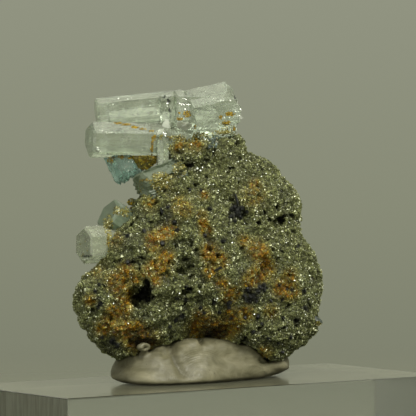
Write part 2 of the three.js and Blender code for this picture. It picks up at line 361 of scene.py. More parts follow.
FLOOR_RADIUS = 0.6
FLOOR_FADE = (0.16, 0.40)  # where the floor melts into the backdrop


def make_floor():
    shader = Shader("pale studio floor")
    grain = shader.noise(3, detail=3)
    shader.link(shader.ramp(grain, (0.3, (0.163, 0.169, 0.124)), (0.7, (0.172, 0.178, 0.133))), "Base Color")
    shader.set(Roughness=0.9)
    length = shader.node("ShaderNodeVectorMath", operation="LENGTH")
    shader.links.new(shader.place, length.inputs[0])
    fade = shader.node("ShaderNodeMapRange", interpolation_type="SMOOTHSTEP")
    fade.inputs["From Min"].default_value = FLOOR_FADE[0]
    fade.inputs["From Max"].default_value = FLOOR_FADE[1]
    shader.links.new(length.outputs["Value"], fade.inputs["Value"])
    clear = shader.node("ShaderNodeBsdfTransparent")
    blend = shader.node("ShaderNodeMixShader")
    shader.links.new(fade.outputs["Result"], blend.inputs["Fac"])
    shader.links.new(shader.surface.outputs["BSDF"], blend.inputs[1])
    shader.links.new(clear.outputs["BSDF"], blend.inputs[2])
    shader.links.new(blend.outputs["Shader"], shader.output.inputs["Surface"])
    work = bmesh.new()
    bmesh.ops.create_circle(work, cap_ends=True, segments=96, radius=FLOOR_RADIUS)
    mesh = bpy.data.meshes.new("floor")
    work.to_mesh(mesh)
    work.free()
    mesh.materials.append(shader.material)
    object_of(mesh)


# Muscovite lump

VOXEL = 0.34 * MM
PIXEL = 0.218  # millimetres of the specimen to one pixel of the photograph
RUST_HALO = 1.6  # how much further the honey tint reaches than the rust itself
# Stains of iron rust on the show side: pixels across and down, reach in pixels, strength.
RUST_SPOTS = [
    (204, 195, 5, 0.8), (185, 210, 7, 0.7), (202, 215, 5, 1.0), (203, 223, 5, 1.0), (206, 231, 6, 0.9),
    (170, 230, 8, 1.1), (160, 236, 8, 0.8), (150, 237, 6, 0.7), (153, 245, 7, 1.0), (166, 257, 8, 1.1),
    (155, 267, 8, 1.1), (146, 272, 6, 0.8), (210, 250, 8, 1.1), (207, 256, 6, 0.9), (243, 240, 6, 0.7),
    (256, 249, 10, 0.8), (262, 255, 8, 1.0), (220, 260, 8, 0.9), (126, 270, 8, 1.0), (117, 283, 10, 1.3),
    (124, 294, 8, 1.1), (136, 279, 6, 0.9), (156, 281, 6, 0.7), (90, 300, 6, 0.9), (125, 303, 7, 1.0),
    (124, 311, 7, 0.9), (114, 312, 8, 1.0), (110, 319, 7, 0.9), (126, 327, 8, 1.0), (137, 327, 7, 0.9),
    (119, 333, 7, 0.9), (103, 328, 8, 1.0), (218, 263, 7, 1.0), (210, 272, 7, 0.9), (222, 283, 7, 0.9),
    (250, 281, 8, 1.2), (258, 275, 9, 1.3), (266, 268, 9, 1.3), (290, 275, 7, 0.8), (282, 288, 9, 1.3),
    (291, 291, 8, 1.2), (234, 293, 7, 0.8), (228, 298, 7, 0.8), (246, 313, 8, 0.9), (231, 314, 7, 0.9),
    (234, 324, 8, 0.9), (271, 311, 7, 0.8), (202, 317, 8, 0.9), (265, 352, 7, 0.7), (255, 184, 5, 0.7),
    (200, 330, 12, 1.0), (215, 331, 13, 1.0), (228, 328, 10, 0.9), (144, 341, 14, 1.0),
    (132, 338, 10, 1.0), (178, 143, 9, 0.6), (196, 144, 8, 0.6), (150, 204, 8, 0.5), (163, 182, 10, 0.35),
    (253, 195, 14, 0.3), (96, 268, 12, 0.3), (165, 270, 9, 0.35), (180, 205, 12, 0.3),
    (115, 240, 9, 0.35),
]
# Smears of dark tourmaline dust, and painted shade in crevices, clefts and under the overhang above the
# putty: pixels across and down, reach in pixels, strength.
DARK_DUST_AND_SHADE_SPOTS = [
    (237, 211, 9, 1.2), (236, 203, 4, 1.0), (253, 294, 12, 0.8), (244, 298, 6, 0.8), (262, 288, 7, 0.8),
    (297, 321, 7, 0.6), (181, 316, 7, 0.6), (114, 343, 8, 0.8), (186, 265, 12, 0.35),
    (167, 219, 10, 0.35), (140, 240, 14, 0.3), (213, 331, 18, 0.6), (144, 342, 16, 0.6),
    (130, 258, 8, 0.4), (98, 300, 8, 0.4), (188, 165, 7, 0.5), (118, 240, 17, 0.35), (112, 224, 8, 0.3),
    (150, 222, 12, 0.2),
]
# Small holes, clefts and crevices: pixels across and down, reach across and down in pixels, depth.
HOLES = [
    (281, 220, 5, 4, 2.0), (285, 216, 3, 2.5, 1.6), (265, 213, 2.5, 2.5, 1.6), (270, 220, 2.5, 2.5, 1.4),
    (259, 223, 2.5, 2.5, 1.5), (277, 207, 2.5, 3, 1.4), (292, 216, 3, 2.5, 1.5),
    (282, 252, 2.5, 2.5, 1.4), (183, 251, 3.5, 1.8, 1.6), (196, 250, 3, 1.8, 1.4),
    (185, 260, 4, 1.8, 1.6), (191, 266, 4, 1.8, 1.4), (190, 289, 5, 2.5, 1.6), (161, 212, 2.4, 4, 1.4),
    (147, 284, 4, 5.5, 2.6), (145, 291, 7.5, 6.5, 2.8), (144.5, 297, 11, 6.5, 3.0),
    (297, 321, 3, 3.5, 1.6), (188, 166, 7, 2.4, 1.4), (205, 161, 6, 2.0, 0.9), (213, 333, 19, 6, 0.9),
    (144, 343, 17, 5, 1.0), (245, 224, 3, 2, 1.2), (133, 262, 3, 2.5, 1.4), (232, 168, 5, 2, 1.0),
    (116, 262, 3, 2, 1.0), (150, 222, 3, 2, 1.2), (243, 342, 3, 2, 1.2), (104, 286, 2.4, 2, 1.2),
]
# Dark grains in the mica: pixels across and down, radius in millimetres.
DARK_GRAINS = [
    (156, 192, 0.45), (174, 222, 0.55), (177, 230, 0.55), (205, 236, 0.45), (223, 241, 0.55),
    (210, 209, 0.45), (162, 243, 0.55), (201, 190, 0.35), (128, 263, 0.5), (101, 304, 0.5),
    (98, 307, 0.4), (95, 291, 0.4), (99, 285, 0.35), (177, 298, 0.4), (186, 300, 0.5), (182, 316, 0.55),
    (176, 320, 0.5), (170, 327, 0.4), (112, 341, 0.5), (117, 345, 0.45), (102, 337, 0.4), (247, 290, 0.5),
    (252, 296, 0.65), (258, 292, 0.5), (260, 287, 0.4), (249, 301, 0.5), (256, 301, 0.45),
    (245, 296, 0.4), (264, 285, 0.45), (264, 290, 0.45), (279, 285, 0.35), (287, 289, 0.35),
    (292, 290, 0.35), (282, 300, 0.35), (304, 291, 0.5), (305, 308, 0.5), (200, 308, 0.45),
    (204, 313, 0.4), (214, 303, 0.45), (229, 303, 0.6), (229, 307, 0.45), (219, 312, 0.35),
    (231, 318, 0.4), (245, 318, 0.4), (258, 316, 0.5), (262, 324, 0.4), (253, 332, 0.5), (291, 337, 0.4),
    (279, 343, 0.35), (283, 352, 0.4), (231, 217, 0.45), (235, 221, 0.4), (232, 209, 0.5),
    (238, 213, 0.6), (242, 208, 0.5), (236, 207, 0.55), (240, 217, 0.5), (298, 246, 0.35),
    (144, 231, 0.4), (127, 236, 0.4), (271, 301, 0.35), (190, 190, 0.3), (247, 212, 0.4), (168, 207, 0.4),
    (283, 318, 0.35), (268, 338, 0.35),
]
# Long dark crystals: both ends in pixels and half their thickness in millimetres.
DARK_NEEDLES = [
    ((235, 193), (238, 205), 0.32),
    ((214, 271), (222, 267), 0.30),
    ((265, 283), (264, 291), 0.3),
    ((160, 207), (163, 214), 0.22),
    ((181, 290), (187, 286), 0.22),
]
# Where the show side is more even: pixels across and down, reach in pixels, strength.
SMOOTHER = [(225, 185, 40, 1.2), (262, 225, 30, 0.8), (190, 205, 25, 0.7)]
# Size and height of the lump's relief, in millimetres.
KNOB_SIZE, KNOB_HEIGHT = 2.4, 0.32
GRAIN_SIZE, GRAIN_HEIGHT = 1.3, 0.38
FINE_SIZE, FINE_HEIGHT = 0.75, 0.24
PIT_SIZE, PIT_DEPTH = 1.6, 3.0
RELIEF_SINK = 0.12  # keeps the relief inside the solid
RIM_SIZE = 0.7  # of the ragged bites in a hole's rim


def spots(p, places):
    """Sum of soft spots at each point, by where the camera sees it."""
    across, down = seen_at(p)
    total = np.zeros(len(p))
    for x, y, reach, strength in places:
        share = 1 - ((across - x) ** 2 + (down - y) ** 2) / reach**2
        total += strength * np.clip(share, 0, 1)
    return total


def hole_depth(p):
    """How far the holes, with their ragged rims, sink each point."""
    across, down = seen_at(p)
    ragged = 0.5 * noise_of(p, RIM_SIZE, 3.3)
    total = np.zeros(len(p))
    for x, y, reach_across, reach_down, depth in HOLES:
        share = 1 - ((across - x) / reach_across) ** 2 - ((down - y) / reach_down) ** 2
        share += ragged * np.clip(share + 0.8, 0, 1)
        total = np.maximum(total, depth * np.clip(share * 1.6, 0, 1))
    return total


def noise_of(p, wave, seed=0.0):
    """Perlin noise of each point, about -1 to 1."""
    q = p / wave + seed
    return np.array([noise.noise(Vector(v)) for v in q]) * 1.6


def cell_relief(p, wave, seed=0.0):
    """0 in the creases between grains of this size, about 1 on their tops."""
    out = np.empty(len(p))
    for i, v in enumerate(p / wave + seed):
        near, _ = noise.voronoi(Vector(v))
        out[i] = min(1.0, (near[1] - near[0]) * 2.2)
    return out


def behind_show_side(p):
    """0 on the lump's show side, 1 on its back."""
    return np.clip((p[:, 1] - 0.5 * p[:, 0] - 1) / 3, 0, 1)


def lump_mesh():
    """The CAD lump with its grain: knobs, creases, clefts and small holes, and values that paint shade into
    its hollows.
    """
    mesh = remeshed(node_copy("muscovite_matrix", "lump form"), VOXEL, "muscovite_ground")
    p = to_specimen(coordinates(mesh))
    back = behind_show_side(p)
    rough = 1 - 0.6 * spots(p, SMOOTHER) * (1 - back)
    knobs = KNOB_HEIGHT * rough * noise_of(p, KNOB_SIZE, 3.1)
    grains = GRAIN_HEIGHT * rough * (cell_relief(p, GRAIN_SIZE, 5.7) - 0.6)
    fine = FINE_HEIGHT * noise_of(p, FINE_SIZE, 1.3)
    pits = np.clip(noise_of(p, PIT_SIZE, 9.2) - 0.68, 0, 1) * PIT_DEPTH
    relief = knobs + grains + fine - pits - RELIEF_SINK
    holes = hole_depth(p) * (1 - back)
    p = p + (vertex_normals(mesh) @ np.array(UNPLACE.to_3x3().normalized()).T) * relief[:, None]
    p[:, 1] += holes
    set_coordinates(mesh, to_row(p))
    patchy = np.clip(noise_of(p, 5.5, 4.4) * 1.6 - 0.35, 0, 1)
    stained = np.clip(spots(p, RUST_SPOTS) * 1.3, 0, 1) * (1 - back) + patchy * back
    wider = [(x, y, RUST_HALO * reach, strength) for x, y, reach, strength in RUST_SPOTS]
    halo = np.clip(spots(p, wider), 0, 1) * (1 - back)
    grainy = np.clip(0.10 + 2.4 * noise_of(p, 0.7, 6.1) + 0.8 * noise_of(p, 2.0, 7.7), 0, 1.2)
    rust = 0.33 * np.maximum(halo, patchy * back) + stained * grainy
    rusty = np.clip(2.5 * (rust - 0.40), 0, 1)
    # Dark dust and painted shade on the show side; dark patches at random on the back.
    dark = spots(p, DARK_DUST_AND_SHADE_SPOTS) * (1 - back) + np.clip(noise_of(p, 4.1, 8.8) - 0.6, 0, 1) * back
    dark *= np.clip(0.8 + 0.9 * noise_of(p, 1.0, 2.2), 0, 1.5)
    round_grains = [(x, y, radius / PIXEL + 0.8, 1.6) for x, y, radius in DARK_GRAINS]
    under_grains = np.clip(spots(p, round_grains) * (1 - back), 0, 1)
    add_attribute(mesh, "rust", np.clip(rust, 0, 1))
    open_surface = np.clip(1.15 - 0.5 * holes - 0.7 * pits - under_grains, 0, 1)
    # Painted shade: holes also darken the dark value, and the hollow value paints shade into creases, pits
    # and holes.
    add_attribute(mesh, "dark", np.clip(dark + 0.22 * holes + 0.8 * under_grains, 0, 1))
    add_attribute(mesh, "sunk", np.clip(0.40 - relief * 0.8 + 0.4 * holes, 0, 1))
    add_attribute(mesh, "cover", open_surface * (1 - 0.85 * rusty))
    add_attribute(mesh, "rusty cover", open_surface * rusty)
    return mesh


def ground_material():
    """The fine mica and dust between the flakes, painted darker as shade in its hollows."""
    shader = Shader("muscovite ground")
    grain = shader.noise(0.45, detail=5, rough=0.65)
    dust = (0.3, (0.028, 0.030, 0.009)), (0.52, (0.085, 0.090, 0.030)), (0.72, (0.165, 0.174, 0.070))
    colour = shader.ramp(grain, *dust)
    honey = shader.ramp(grain, (0.3, (0.06, 0.042, 0.006)), (0.7, (0.26, 0.19, 0.035)))
    ochre = shader.ramp(grain, (0.3, (0.06, 0.026, 0.002)), (0.7, (0.30, 0.14, 0.008)))
    rust = shader.attribute("rust")
    colour = shader.mix(shader.ramp(rust, (0.0, 0.0), (0.4, 1.0)), colour, honey)
    colour = shader.mix(shader.ramp(rust, (0.35, 0.0), (0.85, 1.0)), colour, ochre)
    # Dark tourmaline dust, and painted shade in crevices, holes and under the overhang.
    colour = shader.mix(shader.attribute("dark"), colour, (0.014, 0.015, 0.012))
    # Painted shade: darker where the surface lies sunk in creases, pits and holes.
    shaded = shader.ramp(shader.attribute("sunk"), (0.3, 1.0), (0.95, 0.3))
    colour = shader.mix(1.0, colour, shaded, blend="MULTIPLY")
    shader.link(colour, "Base Color")
    shader.link(shader.ramp(grain, (0.3, 0.7), (0.7, 0.4)), "Roughness")
    shader.set(Specular_IOR_Level=0.25)
    shader.bump(shader.cells(0.35), 0.08)
    return shader.material


def flake_material():
    """Muscovite flakes: pearly grey-green, honey or rust-brown by flake; the brightest few are painted
    near-white as glints, and all are painted darker as shade in hollows.
    """
    shader = Shader("muscovite flakes")
    tone = shader.attribute("tone")
    plain = shader.ramp(
        tone,
        (0.0, (0.052, 0.058, 0.018)),
        (0.35, (0.130, 0.142, 0.050)),
        (0.7, (0.236, 0.254, 0.106)),
        # The brightest few flakes are painted near-white as glints.
        (0.92, (0.30, 0.32, 0.15)),
        (0.94, (0.80, 0.83, 0.56)),
        (1.0, (0.95, 0.97, 0.76)),
    )
    honey = shader.ramp(
        tone,
        (0.0, (0.080, 0.058, 0.008)),
        (0.5, (0.205, 0.165, 0.020)),
        (0.93, (0.36, 0.30, 0.06)),
        # The brightest few honey flakes are painted pale as glints.
        (0.95, (0.80, 0.75, 0.42)),
    )
    ochre = shader.ramp(
        tone,
        (0.0, (0.060, 0.020, 0.001)),
        (0.3, (0.180, 0.080, 0.003)),
        (0.6, (0.330, 0.180, 0.008)),
        (1.0, (0.56, 0.40, 0.06)),
    )
    rust = shader.attribute("rust")
    colour = shader.mix(shader.ramp(rust, (0.0, 0.0), (0.4, 1.0)), plain, honey)
    colour = shader.mix(shader.ramp(rust, (0.35, 0.0), (0.85, 1.0)), colour, ochre)
    # Dark tourmaline dust, and painted shade in crevices, holes and under the overhang.
    colour = shader.mix(shader.attribute("dark"), colour, (0.018, 0.020, 0.018))
    patch = shader.ramp(shader.noise(6, detail=2), (0.35, (0.92, 0.94, 0.89)), (0.65, (1.15, 1.14, 1.08)))
    colour = shader.mix(1.0, colour, patch, blend="MULTIPLY")
    # Painted shade: darker where the flakes lie sunk in creases, pits and holes.
    shaded = shader.ramp(shader.attribute("sunk"), (0.35, 1.06), (0.75, 0.55), (1.0, 0.26))
    colour = shader.mix(1.0, colour, shaded, blend="MULTIPLY")
    shader.link(colour, "Base Color")
    gloss = shader.ramp(tone, (0.0, 0.5), (0.6, 0.3), (1.0, 0.16))
    shader.link(shader.mix(shader.attribute("dark"), gloss, (0.8, 0.8, 0.8)), "Roughness")
    shader.set(Specular_IOR_Level=0.35, IOR=1.58)
    return shader.material


def rust_material():
    """Grains of iron rust, without any shine: honey where it is thin, ochre where it is thick, painted darker
    as shade in hollows.
    """
    shader = Shader("iron rust")
    tone = shader.attribute("tone")
    honey = shader.ramp(
        tone,
        (0.0, (0.11, 0.085, 0.008)),
        (0.5, (0.25, 0.20, 0.020)),
        (1.0, (0.45, 0.39, 0.07)),
    )
    ochre = shader.ramp(
        tone,
        (0.0, (0.050, 0.020, 0.001)),
        (0.4, (0.20, 0.10, 0.002)),
        (1.0, (0.62, 0.40, 0.03)),
    )
    colour = shader.mix(shader.ramp(shader.attribute("rust"), (0.35, 0.0), (0.80, 1.0)), honey, ochre)
    # Dark tourmaline dust, and painted shade in crevices, holes and under the overhang.
    colour = shader.mix(shader.attribute("dark"), colour, (0.018, 0.020, 0.018))
    # Painted shade: darker where the grains lie sunk in creases, pits and holes.
    shaded = shader.ramp(shader.attribute("sunk"), (0.35, 1.06), (0.75, 0.55), (1.0, 0.26))
    colour = shader.mix(1.0, colour, shaded, blend="MULTIPLY")
    shader.link(colour, "Base Color")
    shader.set(Roughness=0.8, Specular_IOR_Level=0.05)
    return shader.material


def dark_grain_material():
    """Black tourmaline grains with a cold, half-dull shine."""
    shader = Shader("dark grains")
    grain = shader.noise(0.3, detail=3)
    shader.link(shader.ramp(grain, (0.3, (0.004, 0.005, 0.004)), (0.7, (0.012, 0.013, 0.012))), "Base Color")
    shader.link(shader.ramp(grain, (0.3, 0.3), (0.7, 0.6)), "Roughness")
    shader.set(Specular_IOR_Level=0.35)
    shader.bump(grain, 0.02)
    return shader.material


SHAPES_OF_A_KIND = 6


def plate_between(draw, corners, thickness, inset):
    """An uneven flat plate: points under and above, and its faces."""
    turn = [2 * math.pi * (k + draw.uniform(-0.2, 0.2)) / corners for k in range(corners)]
    reach = [draw.uniform(0.75, 1.1) for _ in range(corners)]
    rim = [(r * math.cos(t), r * math.sin(t)) for r, t in zip(reach, turn)]
    points = [(x, y, -thickness) for x, y in rim] + [(inset * x, inset * y, thickness) for x, y in rim]
    sides = [(k, (k + 1) % corners, corners + (k + 1) % corners, corners + k) for k in range(corners)]
    return points, [tuple(range(corners - 1, -1, -1)), tuple(range(corners, 2 * corners)), *sides]


def plate(draw):
    return plate_between(draw, draw.choice((4, 5)), draw.uniform(0.08, 0.18), 0.9)


def pebble(draw):
    return plate_between(draw, 5, draw.uniform(0.8, 1.2), draw.uniform(0.6, 0.9))


def shard(draw):
    """A splinter with four faces."""
    rim = []
    for k in range(3):
        turn, reach = 2.1 * k + draw.uniform(-0.3, 0.3), draw.uniform(0.8, 1.15)
        rim.append((math.cos(turn) * reach, math.sin(turn) * reach, draw.uniform(-0.2, 0.05)))
    tip = (draw.uniform(-0.4, 0.4), draw.uniform(-0.4, 0.4), draw.uniform(0.3, 0.55))
    return [*rim, tip], [(2, 1, 0), (0, 1, 3), (1, 2, 3), (2, 0, 3)]


def shapes_of(name, make, seed):
    """A hidden collection of small bodies of one kind, to scatter."""
    draw = random.Random(seed)
    kind = bpy.data.collections.new(name)
    for i in range(SHAPES_OF_A_KIND):
        mesh = mesh_of(f"{name} {i}", *make(draw))
        kind.objects.link(bpy.data.objects.new(mesh.name, mesh))
    return kind


class Chips:
    """Small closed bodies gathered into one mesh, each with its own tone and stain."""

    def __init__(self, make, seed):
        self.draw = random.Random(seed)
        self.make = make
        self.vertices, self.faces = [], []
        self.values = {"tone": [], "rust": [], "dark": [], "sunk": []}

    def lay(self, point, normal, radius, tilt, **values):
        """Lays a body on a surface: radius in millimetres, tilt in radians."""
        points, faces = self.make(self.draw)
        uniform = self.draw.uniform
        lean = Euler([uniform(-tilt, tilt), uniform(-tilt, tilt), uniform(0, 6.28)])
        turn = normal.to_track_quat("Z", "Y").to_matrix() @ lean.to_matrix()
        start = len(self.vertices)
        self.vertices += [point + turn @ (Vector(v) * radius) for v in points]
        self.faces += [tuple(start + k for k in face) for face in faces]
        for name, kept in self.values.items():
            kept += [values.get(name, self.draw.random() if name == "tone" else 0.0)] * len(points)

    def strew(self, surface, across, down, reach, count, radii, tilt=0.9, lift=0.0, **values):
        """Lays bodies on a surface inside an ellipse of the photograph, thinning out to its rim."""
        wide, tall = reach if isinstance(reach, tuple) else (reach, reach)
        for _ in range(count):
            angle, out = self.draw.uniform(0, 2 * math.pi), self.draw.random() ** 0.75
            there = across + wide * out * math.cos(angle), down + tall * out * math.sin(angle)
            hit, normal, _, _ = surface.ray_cast(*sight_line(*there))
            if hit:
                self.lay(hit + normal * lift, normal, self.draw.uniform(*radii), tilt, **values)

    def piece(self, name, material, slot):
        mesh = mesh_of(name, to_row([tuple(v) for v in self.vertices]), self.faces)
        for key, values in self.values.items():
            add_attribute(mesh, key, values)
        return finish_piece(mesh, material, slot)


def surface_of(*meshes):
    """A ray-casting tree of meshes, in the specimen's millimetres."""
    vertices, faces = [], []
    for mesh in meshes:
        start = len(vertices)
        vertices += [Vector(v) for v in to_specimen(coordinates(mesh))]
        faces += [tuple(start + k for k in polygon.vertices) for polygon in mesh.polygons]
    return BVHTree.FromPolygons(vertices, faces)


NEEDLE_LIFT = 0.35  # how far the long crystals stand out of the flakes
NEEDLE_SIDES = 5
# Places along a long crystal and its width there, as shares of its length and thickness.
NEEDLE_RINGS = [(0, 0.25), (0.25, 0.8), (0.8, 1), (1, 0.6)]


def band_faces(rings, sides, start=0):
    """Faces between rings of points that follow each other."""
    faces = []
    for ring in range(rings - 1):
        for k in range(sides):
            a = start + ring * sides + k
            b = start + ring * sides + (k + 1) % sides
            faces.append((a, b, b + sides, a + sides))
    return faces


def needle(chips, surface, one_end, other_end, half_width):
    """A long dark prism lying on the surface between two pixels."""
    hits = [surface.ray_cast(*sight_line(*end))[0] for end in (one_end, other_end)]
    if None in hits:
        return
    hits = [hit - Vector((0, NEEDLE_LIFT, 0)) for hit in hits]
    along = hits[1] - hits[0]
    turn = along.to_track_quat("Z", "Y").to_matrix()
    start = len(chips.vertices)
    for share, width in NEEDLE_RINGS:
        for k in range(NEEDLE_SIDES):
            angle = 2 * math.pi * k / NEEDLE_SIDES
            ring = Vector((math.cos(angle), math.sin(angle), 0)) * half_width * width
            chips.vertices.append(hits[0] + along * share + turn @ ring)
    end = len(chips.vertices)
    chips.faces.append(tuple(range(start + NEEDLE_SIDES - 1, start - 1, -1)))
    chips.faces.append(tuple(range(end - NEEDLE_SIDES, end)))
    chips.faces += band_faces(len(NEEDLE_RINGS), NEEDLE_SIDES, start)
    for kept in chips.values.values():
        kept += [0.0] * (end - start)


def scatter_tree():
    """Geometry Nodes that lay small bodies on a surface, each with its own size, tilt and tone."""
    tree = bpy.data.node_groups.new("scatter shapes", "GeometryNodeTree")
    sockets = tree.interface
    sockets.new_socket(name="Surface", in_out="INPUT", socket_type="NodeSocketGeometry")
    for name, kind in (
        ("Shapes", "NodeSocketCollection"),
        ("Cover", "NodeSocketString"),
        ("Density", "NodeSocketFloat"),
        ("Smallest", "NodeSocketFloat"),
        ("Largest", "NodeSocketFloat"),
        ("Tilt", "NodeSocketFloat"),
        ("Seed", "NodeSocketInt"),
        ("Material", "NodeSocketMaterial"),
    ):
        sockets.new_socket(name=name, in_out="INPUT", socket_type=kind)
    sockets.new_socket(name="Flakes", in_out="OUTPUT", socket_type="NodeSocketGeometry")
    nodes, link = tree.nodes, tree.links.new
    inputs, output = nodes.new("NodeGroupInput"), nodes.new("NodeGroupOutput")
    value = inputs.outputs

    spread = nodes.new("GeometryNodeDistributePointsOnFaces")
    link(value["Surface"], spread.inputs["Mesh"])
    cover = nodes.new("GeometryNodeInputNamedAttribute")
    cover.data_type = "FLOAT"
    link(value["Cover"], cover.inputs["Name"])
    density = nodes.new("ShaderNodeMath")
    density.operation = "MULTIPLY"
    link(value["Density"], density.inputs[0])
    link(cover.outputs[0], density.inputs[1])
    link(density.outputs[0], spread.inputs["Density"])
    link(value["Seed"], spread.inputs["Seed"])

    shapes = nodes.new("GeometryNodeCollectionInfo")
    shapes.inputs["Separate Children"].default_value = True
    shapes.inputs["Reset Children"].default_value = True
    link(value["Shapes"], shapes.inputs["Collection"])

    def draw(kind, offset):
        """A random value for each body: its inputs by identifier, and its output."""
        made = nodes.new("FunctionNodeRandomValue")
        made.data_type = kind
        seed = nodes.new("FunctionNodeIntegerMath")
        seed.operation = "ADD"
        seed.inputs[1].default_value = offset
        link(value["Seed"], seed.inputs[0])
        link(seed.outputs[0], next(s for s in made.inputs if s.name == "Seed"))
        return {s.identifier: s for s in made.inputs}, next(s for s in made.outputs if s.enabled)

    lean = nodes.new("ShaderNodeCombineXYZ")
    back = nodes.new("ShaderNodeCombineXYZ")
    opposite = nodes.new("ShaderNodeMath")
    opposite.operation = "MULTIPLY"
    opposite.inputs[1].default_value = -1
    link(value["Tilt"], opposite.inputs[0])
    for axis in ("X", "Y"):
        link(value["Tilt"], lean.inputs[axis])
        link(opposite.outputs[0], back.inputs[axis])
    lean.inputs["Z"].default_value = math.pi
    back.inputs["Z"].default_value = -math.pi
    turn_in, turn_out = draw("FLOAT_VECTOR", 1)
    link(back.outputs[0], turn_in["Min"])
    link(lean.outputs[0], turn_in["Max"])
    euler = nodes.new("FunctionNodeEulerToRotation")
    link(turn_out, euler.inputs[0])
    rotate = nodes.new("FunctionNodeRotateRotation")
    rotate.rotation_space = "LOCAL"
    link(spread.outputs["Rotation"], rotate.inputs["Rotation"])
    link(euler.outputs[0], rotate.inputs["Rotate By"])

    size_in, size_out = draw("FLOAT", 2)
    link(value["Smallest"], size_in["Min_001"])
    link(value["Largest"], size_in["Max_001"])
    pick_in, pick_out = draw("INT", 3)
    pick_in["Min_002"].default_value = 0
    pick_in["Max_002"].default_value = SHAPES_OF_A_KIND - 1

    lay = nodes.new("GeometryNodeInstanceOnPoints")
    link(spread.outputs["Points"], lay.inputs["Points"])
    link(shapes.outputs[0], lay.inputs["Instance"])
    lay.inputs["Pick Instance"].default_value = True
    link(pick_out, lay.inputs["Instance Index"])
    link(rotate.outputs[0], lay.inputs["Rotation"])
    link(size_out, lay.inputs["Scale"])

    _, tone_out = draw("FLOAT", 4)
    store = nodes.new("GeometryNodeStoreNamedAttribute")
    store.data_type = "FLOAT"
    store.domain = "INSTANCE"
    store.inputs["Name"].default_value = "tone"
    link(lay.outputs["Instances"], store.inputs["Geometry"])
    link(tone_out, next(s for s in store.inputs if s.name == "Value" and s.enabled))

    real = nodes.new("GeometryNodeRealizeInstances")
    link(store.outputs["Geometry"], real.inputs["Geometry"])
    finish = nodes.new("GeometryNodeSetMaterial")
    link(real.outputs["Geometry"], finish.inputs["Geometry"])
    link(value["Material"], finish.inputs["Material"])
    link(finish.outputs["Geometry"], output.inputs["Flakes"])
    return tree


def scattered(surface, tree, shapes, name, per_mm2, radii_mm, tilt, seed, material, cover="cover"):
    """Runs the scatter tree on a copy of the surface and keeps the plain mesh."""
    source = object_of(surface.copy())
    modifier = source.modifiers.new("Scatter", "NODES")
    modifier.node_group = tree
    values = {
        "Shapes": shapes,
        "Cover": cover,
        "Density": per_mm2 / MM**2,
        "Smallest": radii_mm[0] * MM,
        "Largest": radii_mm[1] * MM,
        "Tilt": tilt,
        "Seed": seed,
        "Material": material,
    }
    for socket in tree.interface.items_tree:
        if socket.in_out == "INPUT" and socket.name in values:
            modifier[socket.identifier] = values[socket.name]
    mesh = evaluated_mesh(source, name)
    bpy.data.objects.remove(source)
    return mesh


# Kinds of flake: name, shape, flakes per square millimetre, smallest and largest radius, tilt, seed.
FLAKE_KINDS = [
    ("muscovite_sugary_grains", "shards", 5.0, (0.15, 0.29), 1.2, 101),
    ("muscovite_sugary_flakes", "shards", 4.2, (0.18, 0.32), 0.8, 151),
    ("muscovite_middle_flakes", "plates", 1.5, (0.18, 0.36), 1.1, 202),
    ("muscovite_coarse_flakes", "plates", 0.12, (0.32, 0.52), 0.9, 303),
]
# The same for the rust.
RUST_KIND = ("rusty_grains", "shards", 9.0, (0.13, 0.27), 1.2, 505)


def make_muscovite():
    lump = lump_mesh()
    flakes = flake_material()
    rust = rust_material()
    shapes = {"shards": shapes_of("shards", shard, 5), "plates": shapes_of("plates", plate, 11)}
    tree = scatter_tree()
    kinds = [(kind, flakes, "cover") for kind in FLAKE_KINDS] + [(RUST_KIND, rust, "rusty cover")]
    for (name, shape, per_mm2, radii, tilt, seed), finish, cover in kinds:
        mesh = scattered(lump, tree, shapes[shape], name, per_mm2, radii, tilt, seed, finish, cover)
        finish_piece(mesh, None, "muscovite")
    grains = Chips(pebble, 31)
    surface = surface_of(lump)
    for across, down, radius in DARK_GRAINS:
        # Each has a crumb beside it.
        grains.strew(surface, across, down, 0.3, 1, (radius, 1.1 * radius), tilt=0.6)
        grains.strew(surface, across, down, 1.6, 1, (0.4 * radius, 0.6 * radius), tilt=1.0)
    for one_end, other_end, half_width in DARK_NEEDLES:
        needle(grains, surface, one_end, other_end, half_width)
    grains.piece("dark_grains", dark_grain_material(), "muscovite")
    finish_piece(lump, ground_material(), "muscovite", "muscovite_matrix")
    return lump, tree, shapes, flakes, rust


# Aquamarine crystals

